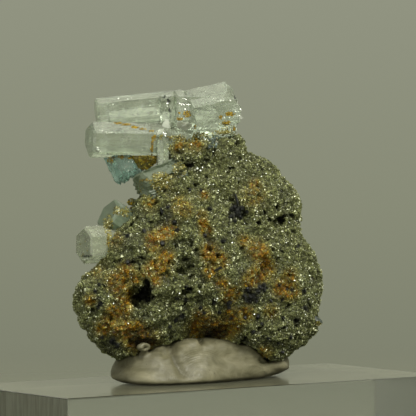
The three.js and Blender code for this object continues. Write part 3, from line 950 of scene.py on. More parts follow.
# Free end and root, width over corners, turn about the axis and how far each prism face stands out, in
# the specimen's millimetres and in degrees.
CRYSTALS = {
    "upperLeft": ((-23.6, -1.6, 57.9), (-4.5, 1.0, 59.9), 7.0, -10, (0, 0.3, 0, -0.2, 0.2, 0)),
    "upperLeftStep": ((-21.2, 0.6, 57.7), (-6.0, 2.8, 59.6), 5.6, 8, (0,) * 6),
    "lowerLeft": ((-25.0, -6.6, 52.7), (-3.5, 0.6, 52.3), 7.8, -21, (0, -0.2, 0.2, 0, 0.3, 0)),
    "junction": ((-8.4, -2.9, 62.0), (-7.9, -1.2, 53.0), 3.9, 20, (0,) * 6),
    "column": ((-9.4, -5.2, 53.6), (-9.0, -5.6, 44.5), 2.9, 14, (0,) * 6),
    "stub": ((-9.7, -6.1, 54.0), (-5.0, 0.5, 50.5), 2.8, 31, (0,) * 6),
    "upperMiddle": ((-7.0, -0.6, 58.2), (2.5, 1.6, 58.0), 10.0, -4, (0.2, -0.2, 0, 0.3, 0, 0)),
    "upperRight": ((7.55, 2.6, 60.2), (-3.4, -0.2, 57.8), 11.3, -7, (0, 0.2, -0.4, 0, -0.3, 0.2)),
    "upperRightLow": ((6.9, -0.2, 55.6), (-1.5, -1.6, 54.4), 4.6, 44, (0,) * 6),
    "blue": ((-15.9, -3.4, 43.4), (-19.8, -3.0, 51.2), 6.9, 5, (0, 0, 0.2, 0, -0.2, 0)),
    "broken": ((-14.6, -9.6, 41.7), (-5.0, -5.6, 45.8), 7.2, 38, (0, 0.3, -0.3, 0, 0, 0.2)),
    "sliver": ((-16.5, -7.6, 39.3), (-12.6, -3.6, 38.1), 1.7, 0, (0,) * 6),
    "sideUpper": ((-21.0, -10.6, 36.5), (-12.2, -5.5, 30.6), 7.9, 6, (0, 0.2, 0, -0.2, 0, 0)),
    "sideLower": ((-26.1, -14.3, 30.0), (-16.4, -8.6, 30.1), 8.3, -3, (0.2, 0, 0, 0, -0.2, 0)),
    "chip": ((26.2, 9.6, 12.1), (21.2, 8.6, 12.6), 2.6, 10, (0,) * 6),
}
END_BEVEL = 0.45
END_RINGS = (1, 0.8, 0.6, 0.4, 0.2)  # rings of points across a free end, from its bevel inwards
# Slanting faces that bite into a broken end: tilt from the axis, turn about it, depth of the bite.
BROKEN_ENDS = {
    "upperRight": [(18, 176, 1.4), (20, 6, 1.3), (42, 275, 2.2)],
    "blue": [(20, 60, 0.5), (30, 250, 0.9)],
    "broken": [(24, 150, 0.8), (30, 265, 1.0)],
    "column": [(40, 180, 0.7)],
    "chip": [(42, 200, 0.9), (30, 20, 0.6)],
}
# How rough each broken end is, and how deep the etched steps of each side are.
HACKLE = {
    "upperRight": 1.0, "upperRightLow": 0.6, "blue": 1.8, "broken": 1.2, "column": 0.4, "stub": 0.3,
    "chip": 0.6,
}
ETCHED = {
    "upperRight": 0.05, "upperMiddle": 0.06, "broken": 0.24, "blue": 0.12, "stub": 0.10, "junction": 0.12,
}
LIGHTLY_ETCHED = 0.03
POINTS_PER_FACE = 14
RING_STEP = 0.5
STRIATION_DEPTH = 0.025
SEAM = 0.03  # gap between crystals of different tints that have grown together


def hexagon(apothems, points_per_face):
    """Outline of a six-sided prism with uneven faces: points, outward normals and place along the outline."""
    corners = []
    for i in range(6):
        a, b = apothems[i], apothems[(i + 1) % 6]
        s, t = i * math.pi / 3, (i + 1) * math.pi / 3
        normals = np.array([[math.cos(s), math.sin(s)], [math.cos(t), math.sin(t)]])
        corners.append(np.linalg.solve(normals, [a, b]))
    points, normals, places = [], [], []
    for i in range(6):
        start, end = corners[i - 1], corners[i]
        normal = np.array([math.cos(i * math.pi / 3), math.sin(i * math.pi / 3)])
        for k in range(points_per_face):
            share = k / points_per_face
            points.append(start + (end - start) * share)
            normals.append(normal)
            places.append(i * 7.0 + share * np.linalg.norm(end - start))
    return np.array(points), np.array(normals), np.array(places)


def side_relief(u, along, seed, etched):
    """How deep a prism side lies at a place: lengthwise ridges, and etched steps with ragged rims."""
    coarse = noise.noise(Vector((u * 1.1, along * 0.03, seed)))
    sharp = noise.noise(Vector((u * 3.4, along * 0.06, seed + 5)))
    steps = noise.noise(Vector((u * 0.55, along * 0.22, seed + 9)))
    steps += 0.35 * noise.noise(Vector((u * 2.2, along * 0.9, seed + 13)))
    ridge = STRIATION_DEPTH * (0.7 * coarse + 0.5 * (sharp > 0.08))
    return ridge + etched * ((steps > 0.05) + (steps > 0.22)) + 0.02


def prism_mesh(key, shrink=0.0):
    """One crystal in the specimen's millimetres: vertices and faces of a closed striated prism."""
    end, root, width, roll, uneven = CRYSTALS[key]
    seed = 3.7 * list(CRYSTALS).index(key) + 1.3
    hackle, etched = HACKLE.get(key, 0.0), ETCHED.get(key, LIGHTLY_ETCHED)
    axis = Vector(end) - Vector(root)
    length = axis.length
    apothem = width / 2 * math.cos(math.pi / 6)
    outline, normals, places = hexagon([apothem + u for u in uneven], POINTS_PER_FACE)
    count = len(outline)
    limits = []
    for tilt, turn, bite in BROKEN_ENDS.get(key, []):
        lean, about = math.radians(tilt), math.radians(turn)
        normal = (math.sin(lean) * math.cos(about), math.sin(lean) * math.sin(about), math.cos(lean))
        limits.append((normal, math.cos(lean) * length + math.sin(lean) * apothem - bite))

    def top_at(x, y):
        height = length
        for (nx, ny, nz), reach in limits:
            height = min(height, (reach - nx * x - ny * y) / nz)
        if hackle:
            near, _ = noise.voronoi(Vector((x / 1.3, y / 1.3, seed)))
            height -= hackle * (0.9 * near[0] + 0.5 * abs(noise.noise(Vector((x * 1.7, y * 1.7, seed)))))
        return height - shrink

    tops = [top_at(x, y) - END_BEVEL for x, y in outline]
    steps = math.ceil(length / RING_STEP)
    rows = []
    for ring in range(steps + 1):
        row = []
        for (x, y), (nx, ny), u, top in zip(outline, normals, places, tops):
            z = top * ring / steps
            depth = side_relief(u, z, seed, etched) + shrink
            row.append((x - nx * depth, y - ny * depth, z))
        rows.append(row)
    inset = 1 - END_BEVEL / apothem
    for share in [inset * part for part in END_RINGS]:
        rows.append([(x * share, y * share, top_at(x * share, y * share)) for x, y in outline])
    vertices = [v for row in rows for v in row]
    faces = band_faces(len(rows), count)
    faces.append(tuple(range(count - 1, -1, -1)))
    last = (len(rows) - 1) * count
    vertices.append((0, 0, top_at(0, 0)))
    faces += [(last + k, last + (k + 1) % count, len(vertices) - 1) for k in range(count)]
    turn = Vector((0, 0, 1)).rotation_difference(axis.normalized()).to_matrix().to_4x4()
    place = Matrix.Translation(root) @ turn @ Matrix.Rotation(math.radians(roll), 4, "Z")
    return [place @ Vector(v) for v in vertices], faces


def solid_of(key, grow=0.0):
    return object_of(mesh_of(key, *prism_mesh(key, -grow)))


def crystal_mesh(name, keys, minus=()):
    """Crystals joined in one closed body, less those that they meet, in the row frame."""
    whole = solid_of(keys[0])
    others = [(solid_of(key), "UNION") for key in keys[1:]]
    others += [(solid_of(key, SEAM), "DIFFERENCE") for key in minus]
    for other, operation in others:
        join = whole.modifiers.new(other.name, "BOOLEAN")
        join.solver = "MANIFOLD"
        join.operation = operation
        join.object = other
    mesh = evaluated_mesh(whole, name)
    for made in (whole, *(other for other, _ in others)):
        bpy.data.objects.remove(made)
    set_coordinates(mesh, to_row(coordinates(mesh)))
    return mesh


def beryl_material(name, tint, milk, absorption, roughness=(0.15, 0.34)):
    """Clear to milky beryl: tint, share of milky scatter, what a metre of it absorbs, and its frosting."""
    shader = Shader(name)
    cloud = shader.noise(3.0, detail=4, rough=0.6)
    streak = shader.noise(0.5, detail=3, rough=0.5, distortion=0.4, stretch=(9, 1, 1), turn=SHOW_TURN)
    frost = shader.noise(1.4, detail=3, rough=0.6, distortion=0.8)
    deep = tuple(0.80 * c for c in tint)
    pale = tuple(min(1, 1.08 * c) for c in tint)
    colour = shader.mix(shader.ramp(cloud, (0.35, 0.0), (0.62, 1.0)), deep, pale)
    colour = shader.mix(shader.ramp(streak, (0.45, 0.0), (0.72, 0.6)), colour, pale)
    shader.link(colour, "Base Color")
    shader.link(shader.ramp(frost, (0.38, roughness[0]), (0.62, roughness[1])), "Roughness")
    shader.set(IOR=1.575, Transmission_Weight=1 - milk)
    shader.bump(shader.math("ADD", streak, shader.math("MULTIPLY", frost, 0.7)), 0.012)
    shader.absorb(absorption[0], absorption[1])
    return shader.material


def veil_material():
    """Whitish healed cracks inside the crystals."""
    shader = Shader("crack veils")
    shader.set(Base_Color=(0.90, 0.95, 0.84, 1), Roughness=0.35)
    patch = shader.noise(0.35, detail=4, rough=0.7)
    shader.link(shader.ramp(patch, (0.42, 0.0), (0.66, 0.35)), "Alpha")
    return shader.material


# How many veils each crystal has.
VEILS = {
    "upperLeft": 20, "lowerLeft": 20, "junction": 6, "column": 5, "stub": 6, "upperMiddle": 16,
    "upperRight": 12, "upperRightLow": 5, "blue": 8, "broken": 5, "sideUpper": 6, "sideLower": 8, "chip": 1,
}


def veil(draw):
    return plate_between(draw, 7, 0.02, 0.96)


def make_veils():
    """Thin sheets inside the crystals: across the axis like cleavage, or along it like healed tubes."""
    veils = Chips(veil, 77)
    draw = veils.draw
    for key, count in VEILS.items():
        end, root, width, _, _ = CRYSTALS[key]
        axis = Vector(end) - Vector(root)
        side = axis.orthogonal().normalized()
        for _ in range(count):
            radius = draw.uniform(0.12, 0.22) * width * (1 if draw.random() < 0.7 else 0.5)
            reach = max(0.0, 0.42 * width - radius) * math.sqrt(draw.random())
            out = Matrix.Rotation(draw.uniform(0, 6.28), 3, axis) @ side * reach
            share = draw.uniform(0.12, 0.90)
            normal = axis.normalized() if draw.random() < 0.45 else Vector(out).normalized() + 0.2 * side
            veils.lay(Vector(root) + axis * share + out, normal, radius, 0.5)
    veils.piece("aquamarine_veils", veil_material(), "aquamarine")


PALE_PRISMS = [
    "upperLeft", "upperLeftStep", "lowerLeft", "junction", "stub", "upperMiddle", "upperRight",
    "upperRightLow",
]


# What beryl of each tint absorbs: the colour that is left, and how fast.
GREEN_LOSS = (0.64, 0.83, 0.64), 28
BLUE_LOSS = (0.28, 0.62, 0.58), 110
GREY_LOSS = (0.40, 0.62, 0.36), 120
CLOUDY_LOSS = (0.40, 0.62, 0.36), 160


def make_crystals():
    pale = beryl_material("pale aquamarine", (0.775, 0.82, 0.71), 0.14, GREEN_LOSS, (0.06, 0.22))
    milky = beryl_material("milky aquamarine", (0.62, 0.68, 0.52), 0.30, GREEN_LOSS)
    frosted = beryl_material("frosted aquamarine", (0.70, 0.735, 0.575), 0.26, GREEN_LOSS, (0.2, 0.42))
    blue = beryl_material("blue aquamarine", (0.43, 0.55, 0.49), 0.12, BLUE_LOSS)
    grey = beryl_material("grey-green aquamarine", (0.27, 0.34, 0.23), 0.42, GREY_LOSS, (0.3, 0.5))
    cloudy = beryl_material("cloudy aquamarine", (0.15, 0.19, 0.115), 0.60, CLOUDY_LOSS, (0.35, 0.55))
    dull = beryl_material("dull aquamarine", (0.035, 0.048, 0.036), 0.9, BLUE_LOSS, (0.4, 0.6))
    top, side = "aquamarine_top_cluster", "aquamarine_side_cluster"
    meshes = []
    for name, keys, minus, material, node in (
        ("aquamarine_pale_prisms", PALE_PRISMS, [], pale, top),
        ("aquamarine_milky_column", ["column"], ["lowerLeft", "stub"], milky, top),
        ("aquamarine_blue_prism", ["blue"], ["lowerLeft", "broken"], blue, top),
        ("aquamarine_grey_prism", ["broken"], ["column", "lowerLeft"], cloudy, top),
        ("aquamarine_side_lower", ["sideLower"], [], frosted, side),
        ("aquamarine_side_upper", ["sideUpper"], ["sideLower"], grey, side),
        ("aquamarine_stained_sliver", ["sliver"], ["broken"], grey, "aquamarine_sliver"),
        ("aquamarine_end_chip", ["chip"], [], dull, "aquamarine_chip"),
    ):
        mesh = crystal_mesh(name, keys, minus)
        finish_piece(mesh, material, "aquamarine", node)
        meshes.append(mesh)
    make_veils()
    return meshes, blue


# Mica, rust, glinting facets, and painted glints and shade on the crystals

CLOT_MIDDLE, CLOT_HALF = (-12.8, -4.6, 48.2), (3.1, 1.5, 2.4)
CLOT_TOP = 0.3  # share of its half height where the long prism cuts it off flat
CLOT_DETAIL = 4
# Rust on the crystals: pixels across and down, reach across and down in pixels, number of grains.
CRYSTAL_RUST = [
    (118, 123, 4, 1.2, 26), (126, 124.5, 5, 1.2, 34), (135, 127, 4, 1.4, 34), (143, 129, 4, 1.0, 14),
    (151, 131, 3, 1.2, 16), (187, 114, 4, 3.5, 46), (180, 119, 3.5, 1.5, 22), (179, 113, 1.5, 1.5, 8),
    (195, 127, 1.2, 3.0, 14), (221, 117, 2.0, 2.0, 16), (230, 114, 5, 2.0, 56), (226, 123, 4.5, 2.4, 44),
    (234, 129, 2.0, 2.0, 12), (111, 160, 4.5, 3.5, 34), (121, 157, 3, 2.2, 20), (152, 147, 1.5, 9, 40),
    (154, 138, 2.5, 3, 20), (128, 204, 3.0, 3.0, 30), (132, 203, 3.0, 3.0, 30), (170, 137, 3, 2, 14),
    (180, 139, 4, 2.4, 22), (196, 136, 2.5, 4, 22), (137, 198, 2.5, 6, 24), (108, 243, 1.5, 10, 20),
    (146, 180, 6, 1.4, 12), (132, 158, 6, 1.2, 20),
]
# Mica that climbs onto the crystals, in the same way.
CRYSTAL_MICA = [
    (108, 224, 5, 10, 230), (117, 211, 4, 5, 90), (126, 212, 6, 5, 110), (109, 238, 3, 8, 80),
    (165, 187, 12, 7, 260), (146, 200, 10, 6, 150), (178, 139, 9, 4, 130), (200, 136, 8, 4, 110),
    (224, 133, 12, 3, 130), (196, 143, 14, 5, 160), (161, 136, 4, 4, 24), (140, 187, 4, 10, 26),
    (84, 246, 6, 12, 10), (225, 127, 9, 5, 30), (172, 147, 5, 5, 60), (181, 169, 9, 8, 330),
    (171, 180, 8, 6, 170), (318, 325, 4, 4, 120), (159, 184, 10, 5, 150), (161, 177, 10, 5, 300),
    (131, 200, 4, 6, 60),
]
# White flecks where the crystals glint: their pale colour paints the glints of cleaved mica and etched
# facets, in the same way.
PAINTED_GLINT_FLECKS = [
    (127, 99, 5, 1.0, 7), (113, 105, 3, 1.0, 4), (150, 105, 2, 1.0, 2), (98, 150, 2.5, 3.5, 20),
    (112, 154.5, 15, 0.7, 26), (102, 131, 3, 0.8, 6), (112, 133, 8, 0.8, 6), (145, 123, 8, 4, 8),
    (161, 132, 4.5, 3.5, 40), (154, 130, 4, 2.5, 10), (167, 105, 0.9, 1.8, 10), (170, 128, 3, 3, 8),
    (184, 126, 7, 4.5, 26), (222, 101, 5, 1.0, 14), (238, 100, 1.6, 3, 20), (238, 111, 2.0, 8, 22),
    (224, 118, 3, 1.0, 8), (162, 150, 3, 9, 12), (128, 166, 5, 5, 8), (112, 226, 4, 5, 6),
    (90, 259, 6, 1.4, 24), (95, 242, 7, 9, 8), (118, 214, 5, 4, 6), (166, 99, 3, 4, 5),
    (212, 100, 8, 3, 6),
]
# Milky facets, in the same way.
MILKY_FACETS = [(184, 126, 5.5, 3.5, 20), (161, 132, 3, 2.5, 5), (168, 124, 3, 3, 4)]
# Dark plates that paint shade and dark reflections where crystals meet and along the side prism's lower edge,
# in the same way.
PAINTED_SHADE_FACETS = [
    (164, 97, 2.6, 1.2, 7), (168, 100, 1.6, 2.6, 7), (170, 113, 1.0, 5, 6), (235, 97, 1.5, 2, 4),
    (88, 256, 7, 0.7, 14),
]
# Blue crystal that shows through the mica, in the same way.
BLUE_PATCHES = [(214, 140, 6, 7, 34), (209, 146, 3, 3, 9), (232, 130, 4, 2, 9), (141, 186, 3, 9, 12)]
# Facets that happen to mirror the main light to the photograph's camera: pixels across and down, radius in
# millimetres.
GLINTS = [
    (98, 150, 0.30), (97, 148, 0.20), (100, 152, 0.22), (103, 153, 0.14), (108, 154, 0.14),
    (115, 154.5, 0.12), (122, 155, 0.12), (102, 131, 0.16), (106, 132.5, 0.14), (111, 133, 0.12),
    (99, 130.5, 0.12), (118, 99, 0.20), (113, 105, 0.16), (127, 99.5, 0.14), (131, 98.5, 0.12),
    (220, 101, 0.20), (223, 101, 0.20), (230, 101, 0.18), (237, 98, 0.18), (239, 101, 0.22),
    (240, 110, 0.22), (235, 112, 0.20), (239, 116, 0.16), (224, 118, 0.22), (229, 118, 0.18),
    (167, 104, 0.22), (167, 107, 0.18), (213, 99, 0.16), (205, 92, 0.12), (84, 260, 0.26),
    (87, 259, 0.20), (90, 260, 0.26), (95, 258, 0.20), (197, 169, 0.30), (200, 171, 0.28),
    (202, 168, 0.18), (209, 185, 0.17), (213, 185, 0.17), (218, 191, 0.16), (243, 155, 0.16),
    (238, 162, 0.18), (246, 161, 0.16), (245, 172, 0.15), (257, 165, 0.18), (261, 177, 0.17),
    (266, 174, 0.15), (271, 196, 0.16), (257, 212, 0.15), (254, 220, 0.15), (289, 223, 0.16),
    (297, 221, 0.14), (286, 243, 0.18), (244, 224, 0.16), (232, 243, 0.20), (167, 183, 0.20),
    (161, 179, 0.18), (178, 193, 0.16), (87, 276, 0.16), (107, 281, 0.16), (108, 297, 0.20),
    (113, 304, 0.20), (128, 324, 0.20), (123, 344, 0.18), (131, 278, 0.20), (179, 294, 0.20),
    (199, 293, 0.18), (216, 301, 0.20), (229, 284, 0.20), (236, 284, 0.16), (254, 315, 0.22),
    (309, 276, 0.18), (305, 315, 0.16), (294, 281, 0.16), (253, 343, 0.20), (237, 327, 0.18),
    (282, 345, 0.16), (199, 292, 0.26), (214, 300, 0.28), (217, 299, 0.20), (137, 234, 0.16),
    (120, 238, 0.14), (144, 248, 0.15), (187, 222, 0.15), (174, 208, 0.14), (186, 231, 0.16),
    (191, 145, 0.20), (205, 140, 0.18), (213, 152, 0.18), (228, 142, 0.18), (183, 150, 0.15),
]
GLINT_LIFT = 0.3  # how far they stand out of what they lie on


def make_glints(surface, material):
    """Small smooth facets, turned half way between the main light and the camera."""
    light = direction(CAMERA_AZIMUTH + math.radians(KEY_AZIMUTH), math.radians(KEY_ELEVATION))
    mirror = (UNPLACE.to_3x3() @ (light + TO_CAMERA)).normalized()
    glints = Chips(plate, 59)
    for across, down, radius in GLINTS:
        hit = surface.ray_cast(*sight_line(across, down))[0]
        if hit:
            glints.lay(hit + mirror * GLINT_LIFT, mirror, radius, 0.08)
    glints.piece("glinting_facets", material, "muscovite")


def clot_mesh():
    """A clot of stained mica between the long prisms and the blue one."""
    work = bmesh.new()
    bmesh.ops.create_icosphere(work, subdivisions=CLOT_DETAIL, radius=1)
    for v in work.verts:
        uneven = 1 + 0.35 * noise.noise(v.co * 1.8 + Vector((4, 1, 7))) + 0.12 * noise.noise(v.co * 6)
        place = v.co * uneven
        place.z = min(place.z, CLOT_TOP)
        narrow = 0.35 + 0.65 * (place.z + 1) / (CLOT_TOP + 1)
        x, y, z = [c * half for c, half in zip(place, CLOT_HALF)]
        v.co = PLACE @ (Vector(CLOT_MIDDLE) + Vector((x * narrow, y * narrow, z)))
    mesh = bpy.data.meshes.new("stained_mica_clot")
    work.to_mesh(mesh)
    work.free()
    p = to_specimen(coordinates(mesh))
    add_attribute(mesh, "rust", np.clip(0.26 + 0.4 * noise_of(p, 0.9, 2.0), 0.1, 0.6))
    add_attribute(mesh, "dark", np.clip(0.6 * noise_of(p, 1.2, 5.0), 0, 0.4))
    add_attribute(mesh, "sunk", np.full(len(p), 0.3))
    add_attribute(mesh, "cover", np.ones(len(p)))
    return mesh


# Pale glossy flecks and facets; strewn as flecks on the crystals, their pale colour is a painted glint.
def fleck_material():
    shader = Shader("white flecks")
    tone = shader.attribute("tone")
    shader.link(shader.ramp(tone, (0.0, (0.45, 0.49, 0.40)), (1.0, (0.74, 0.77, 0.67))), "Base Color")
    shader.link(shader.ramp(tone, (0.0, 0.35), (1.0, 0.12)), "Roughness")
    shader.set(IOR=1.6)
    return shader.material


def painted_shade_material():
    """Facets painted dark, as shade and as dark reflections."""
    shader = Shader("shaded facets")
    grain = shader.noise(0.4, detail=3)
    shader.link(shader.ramp(grain, (0.3, (0.020, 0.024, 0.018)), (0.7, (0.060, 0.068, 0.052))), "Base Color")
    shader.link(shader.ramp(grain, (0.3, 0.2), (0.7, 0.5)), "Roughness")
    return shader.material


FACET_LIFT = 0.05  # how far the laid facets stand out of the crystals


def make_crust(crystals, lump, finishes, tree, shapes):
    """What has grown or washed onto the crystals, and flecks and facets painted as glints and shade."""
    flakes, rust, white, blue = finishes
    ground = surface_of(lump)
    clot = clot_mesh()
    mesh = scattered(clot, tree, shapes["shards"], "stained_clot_flakes", 9.0, (0.16, 0.34), 1.1, 404, rust)
    finish_piece(mesh, None, "muscovite")
    finish_piece(clot, ground_material(), "muscovite")
    stains = Chips(shard, 47)
    for across, down, wide, tall, count in CRYSTAL_RUST:
        stains.strew(crystals, across, down, (wide, tall), 2 * count, (0.12, 0.24), rust=0.65)
    stains.piece("crystal_rust", rust, "muscovite")
    crust = Chips(shard, 41)
    for across, down, wide, tall, count in CRYSTAL_MICA:
        crust.strew(crystals, across, down, (wide, tall), count, (0.16, 0.34), rust=0.25)
    crust.piece("crystal_crust", flakes, "muscovite")
    # Painted glints: pale flecks laid where the crystals glint.
    flecks = Chips(plate, 43)
    for across, down, wide, tall, count in PAINTED_GLINT_FLECKS:
        flecks.strew(crystals, across, down, (wide, tall), count, (0.07, 0.20), tilt=1.1)
    flecks.piece("white_flecks", white, "aquamarine")
    for name, make, seed, surface, places, radii, tilt, material in (
        ("milky_facets", plate, 12, crystals, MILKY_FACETS, (0.55, 0.95), 0.12, white),
        ("shaded_facets", plate, 13, crystals, PAINTED_SHADE_FACETS, (0.15, 0.35), 0.8, painted_shade_material()),
        ("blue_patches", shard, 12, ground, BLUE_PATCHES, (0.30, 0.70), 0.6, blue),
    ):
        facets = Chips(make, seed)
        for across, down, wide, tall, count in places:
            facets.strew(surface, across, down, (wide, tall), count, radii, tilt, FACET_LIFT)
        facets.piece(name, material, "aquamarine")


# Putty

# Lobes and hollows that the camera sees: pixels across and down, reach across and down, and height.
PUTTY_FORMS = [
    (141, 346, 4.5, 5, 1.1), (147, 344, 4, 4.5, 1.1), (190, 345, 15, 11, 0.7), (222, 346, 20, 12, 0.8),
    (201, 340, 4, 8, -1.0), (146, 368, 26, 14, 0.5), (279, 366, 9, 6, 0.9), (150, 336, 20, 12, -1.2),
    (208, 366, 20, 12, 0.5), (166, 352, 7, 8, -0.6), (266, 359, 8, 5, -1.3), (262, 364, 8, 6, -0.4),
    (240, 370, 16, 10, 0.35), (126, 362, 10, 9, -0.4),
]
# Where the putty is painted darker, as shade on its left end and near the crease, and low along its foot:
# pixels across and down, reach in pixels, strength.
PUTTY_PAINTED_SHADE = [
    (124, 371, 18, 0.9), (148, 360, 14, 0.6), (172, 350, 9, 0.5), (180, 382, 30, 0.5), (240, 382, 30, 0.4),
]
PUTTY_VOXEL = 0.4 * MM
SMOOTHINGS = 5  # rounds that soften the putty's form
PUTTY_CREASE = [(170, 343), (173, 352), (177, 363), (183, 373), (190, 382)]
CREASE_WIDTH = 3.4  # pixels
CREASE_DEPTH = 0.95
PUTTY_FOOT = 0.02  # how far its underside stays above the block
PUTTY_BELLY = 4.5  # height of its widest line
FOOT_SPREAD = (0.07, 0.36)  # shares by which its foot is pressed out, lengthwise and forwards
FINGER_MARK = (202, 360)  # pixel at the middle of the fingerprint's arcs
WHORL_BELOW = 6.0  # how far below it the arcs' centre lies
RIDGE_SPACING = 0.46  # of a fingerprint
PRINT_REACH = (3.5, 4.5, 7.5, 9.0)  # from the centre: where the print begins, is full, fades and ends


def distance_to_line(across, down, points):
    """Distance in pixels from a line through points."""
    nearest = np.full(len(across), 1e9)
    for (x0, y0), (x1, y1) in zip(points, points[1:]):
        dx, dy = x1 - x0, y1 - y0
        share = np.clip(((across - x0) * dx + (down - y0) * dy) / (dx * dx + dy * dy), 0, 1)
        nearest = np.minimum(nearest, np.hypot(across - x0 - share * dx, down - y0 - share * dy))
    return nearest


def putty_mesh():
    mesh = remeshed(node_copy("putty", "putty form"), PUTTY_VOXEL, "mineral_putty")
    work = bmesh.new()
    work.from_mesh(mesh)
    axes = {"use_axis_x": True, "use_axis_y": True, "use_axis_z": True}
    for _ in range(SMOOTHINGS):
        bmesh.ops.smooth_vert(work, verts=work.verts, factor=0.5, **axes)
    work.to_mesh(mesh)
    work.free()
    p = to_specimen(coordinates(mesh))
    normals = vertex_normals(mesh) @ np.array(UNPLACE.to_3x3().normalized()).T
    facing = np.clip(-normals[:, 1] * 2.5 + 0.4, 0, 1) * np.clip(p[:, 2] / 1.5 - 0.2, 0, 1)
    across, down = seen_at(p)
    height = np.zeros(len(p))
    for x, y, wide, tall, raised in PUTTY_FORMS:
        share = 1 - ((across - x) / wide) ** 2 - ((down - y) / tall) ** 2
        height += raised * np.clip(share, 0, 1) ** 1.5
    crease = np.exp(-((distance_to_line(across, down, PUTTY_CREASE) / CREASE_WIDTH) ** 2))
    height -= CREASE_DEPTH * crease
    swell = 0.22 * noise_of(p, 5, 2.2) + 0.07 * noise_of(p, 1.6, 5.1)
    low = np.clip(1 - p[:, 2] / PUTTY_BELLY, 0, 1) ** 1.6
    middle = p[:, :2].mean(axis=0)
    p[:, :2] = middle + (p[:, :2] - middle) * (1 + low[:, None] * np.array(FOOT_SPREAD))
    standing = np.clip(p[:, 2] / 1.0 - 0.3, 0, 1)
    p = p + normals * (height * facing + swell * standing)[:, None]
    p[:, 2] = np.maximum(p[:, 2], PUTTY_FOOT)
    set_coordinates(mesh, to_row(p))
    # Painted shade along the crease and at the listed spots.
    add_attribute(mesh, "grime", np.clip(np.maximum(crease * facing, spots(p, PUTTY_PAINTED_SHADE)), 0, 1))
    for polygon in mesh.polygons:
        polygon.use_smooth = True
    return mesh


def putty_material(mesh):
    shader = Shader("grey mineral putty")
    smear = shader.noise(6, detail=5, rough=0.6, distortion=1.4, stretch=(1, 1, 0.5))
    fine = shader.noise(0.5, detail=4)
    colour = shader.ramp(
        smear,
        (0.32, (0.108, 0.100, 0.052)),
        (0.5, (0.165, 0.153, 0.088)),
        (0.68, (0.235, 0.216, 0.134)),
    )
    speck = shader.ramp(shader.cells(1.3), (0.07, 1.0), (0.12, 0.0))
    colour = shader.mix(shader.math("MULTIPLY", speck, 0.6), colour, (0.02, 0.017, 0.010))
    # Painted shade: darker along the crease, on the left end and low along the foot.
    colour = shader.mix(shader.math("MULTIPLY", shader.attribute("grime"), 0.4), colour, (0.03, 0.027, 0.016))
    shader.link(colour, "Base Color")
    shader.link(shader.ramp(fine, (0.3, 0.42), (0.7, 0.65)), "Roughness")
    centre = surface_of(mesh).ray_cast(*sight_line(*FINGER_MARK))[0]
    shift = shader.node("ShaderNodeMapping", vector_type="TEXTURE")
    shift.inputs["Location"].default_value = PLACE @ (centre - Vector((0, 0, WHORL_BELOW)))
    shader.links.new(shader.place, shift.inputs["Vector"])
    rings = shader.node("ShaderNodeTexWave", wave_type="RINGS", rings_direction="SPHERICAL")
    rings.inputs["Scale"].default_value = 2 * math.pi / (20 * RIDGE_SPACING * MM)
    rings.inputs["Distortion"].default_value = 2.0
    rings.inputs["Detail"].default_value = 1.0
    shader.links.new(shift.outputs["Vector"], rings.inputs["Vector"])
    reach = shader.node("ShaderNodeVectorMath", operation="LENGTH")
    shader.links.new(shift.outputs["Vector"], reach.inputs[0])
    strengths = zip([r * MM for r in PRINT_REACH], (0.0, 0.7, 0.7, 0.0))
    near = shader.ramp(reach.outputs["Value"], *strengths)
    lifted = shader.math("MULTIPLY", rings.outputs["Fac"], near)
    shader.bump(shader.math("ADD", fine, lifted), 0.04)
    return shader.material


# The curl pinched out of the putty: its pixel, and the radii of its loop and its strand in millimetres.
CURL_AT, CURL_LOOP, CURL_STRAND = (144, 347.5), 0.62, 0.52


def curl_mesh(surface):
    hit = surface.ray_cast(*sight_line(*CURL_AT))[0]
    rings, sides = 24, 10
    points = []
    for i in range(rings):
        around = 2 * math.pi * i / rings
        strand = CURL_STRAND * (1 + 0.25 * math.sin(around - 0.6))
        for k in range(sides):
            across = 2 * math.pi * k / sides
            reach = CURL_LOOP + strand * math.cos(across)
            wide, tall = 1.3 * reach * math.cos(around), 0.85 * reach * math.sin(around)
            deep = 0.5 * math.cos(around) + strand * math.sin(across) - 0.2
            points.append(hit + Vector((wide, deep, tall)))
    faces = [
        (i * sides + k, i * sides + (k + 1) % sides, j * sides + (k + 1) % sides, j * sides + k)
        for i in range(rings) for j in [(i + 1) % rings] for k in range(sides)
    ]
    mesh = mesh_of("putty_curl", to_row([tuple(v) for v in points]), faces)
    # The curl is painted a little darker, as shade.
    add_attribute(mesh, "grime", np.full(len(points), 0.3))
    for polygon in mesh.polygons:
        polygon.use_smooth = True
    return mesh


def make_putty(lump):
    mesh = putty_mesh()
    material = putty_material(mesh)
    finish_piece(curl_mesh(surface_of(lump, mesh)), material, "putty")
    finish_piece(mesh, material, "putty", "putty")


# Acrylic block

BLOCK_BEVEL = 0.35
SAWN_SKIN = 0.1  # how near to an end the surface counts as sawn


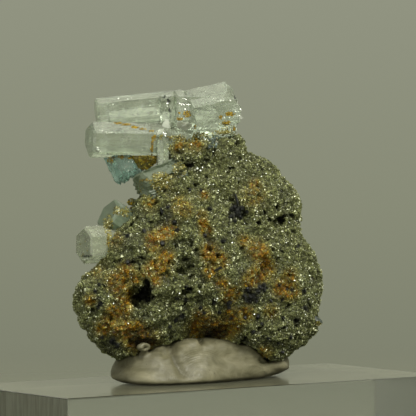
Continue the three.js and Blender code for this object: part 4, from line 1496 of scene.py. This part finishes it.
def block_mesh():
    low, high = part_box("acrylic_block")
    work = bmesh.new()
    bmesh.ops.create_cube(work, size=1.0)
    for v in work.verts:
        v.co = Vector([(a + b) / 2 + c * (b - a) for a, b, c in zip(low, high, v.co)])
    edges = list(work.edges)
    bmesh.ops.bevel(work, geom=edges, offset=BLOCK_BEVEL * MM, segments=2, affect="EDGES", profile=0.5)
    mesh = bpy.data.meshes.new("clear_acrylic_block")
    work.to_mesh(mesh)
    work.free()
    return mesh


def acrylic_material():
    """Polished clear acrylic with rough sawn ends, the one at +X painted darker as shade."""
    shader = Shader("polished acrylic")
    half_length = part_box("acrylic_block")[1].x / MM
    split = shader.node("ShaderNodeSeparateXYZ")
    shader.links.new(shader.place, split.inputs["Vector"])
    far = shader.math("ABSOLUTE", split.outputs["X"])
    sawn = shader.math("GREATER_THAN", far, (half_length - SAWN_SKIN) * MM)
    haze = shader.noise(9, detail=4)
    strokes = shader.noise(1.1, detail=4, rough=0.7, stretch=(1, 1, 12))
    end_tone = shader.ramp(strokes, (0.35, (0.50, 0.45, 0.34)), (0.65, (0.97, 0.94, 0.78)))
    # Painted shade: the end at +X is tinted darker than the other.
    end_in_painted_shade = shader.math("GREATER_THAN", split.outputs["X"], 0.0)
    end_tone = shader.mix(end_in_painted_shade, end_tone, (0.30, 0.31, 0.24))
    shader.link(shader.mix(sawn, (0.97, 0.98, 0.96), end_tone), "Base Color")
    polish = shader.ramp(haze, (0.4, 0.12), (0.7, 0.20))
    shader.link(shader.mix(sawn, polish, (0.5, 0.5, 0.5)), "Roughness")
    shader.set(IOR=1.49, Transmission_Weight=1.0, Sheen_Weight=0.24, Sheen_Roughness=0.4)
    shader.set(Sheen_Tint=(1.0, 0.98, 0.70, 1))
    scratch = shader.noise(1.2, detail=3, stretch=(20, 1, 1))
    shader.bump(scratch, 0.01, 0.3)
    shader.absorb((0.71, 0.73, 0.77), 13)
    return shader.material


def make_block():
    finish_piece(block_mesh(), acrylic_material(), "acrylic", "acrylic_block")


bpy.context.scene.view_settings.view_transform = "Standard"
make_camera()
make_lights()
make_world()
make_floor()
lump, scatter, flake_shapes, flake_finish, rust_finish = make_muscovite()
crystal_meshes, blue_beryl = make_crystals()
white_finish = fleck_material()
crust_finishes = flake_finish, rust_finish, white_finish, blue_beryl
make_crust(surface_of(*crystal_meshes), lump, crust_finishes, scatter, flake_shapes)
make_glints(surface_of(lump, *crystal_meshes), white_finish)
make_putty(lump)
make_block()
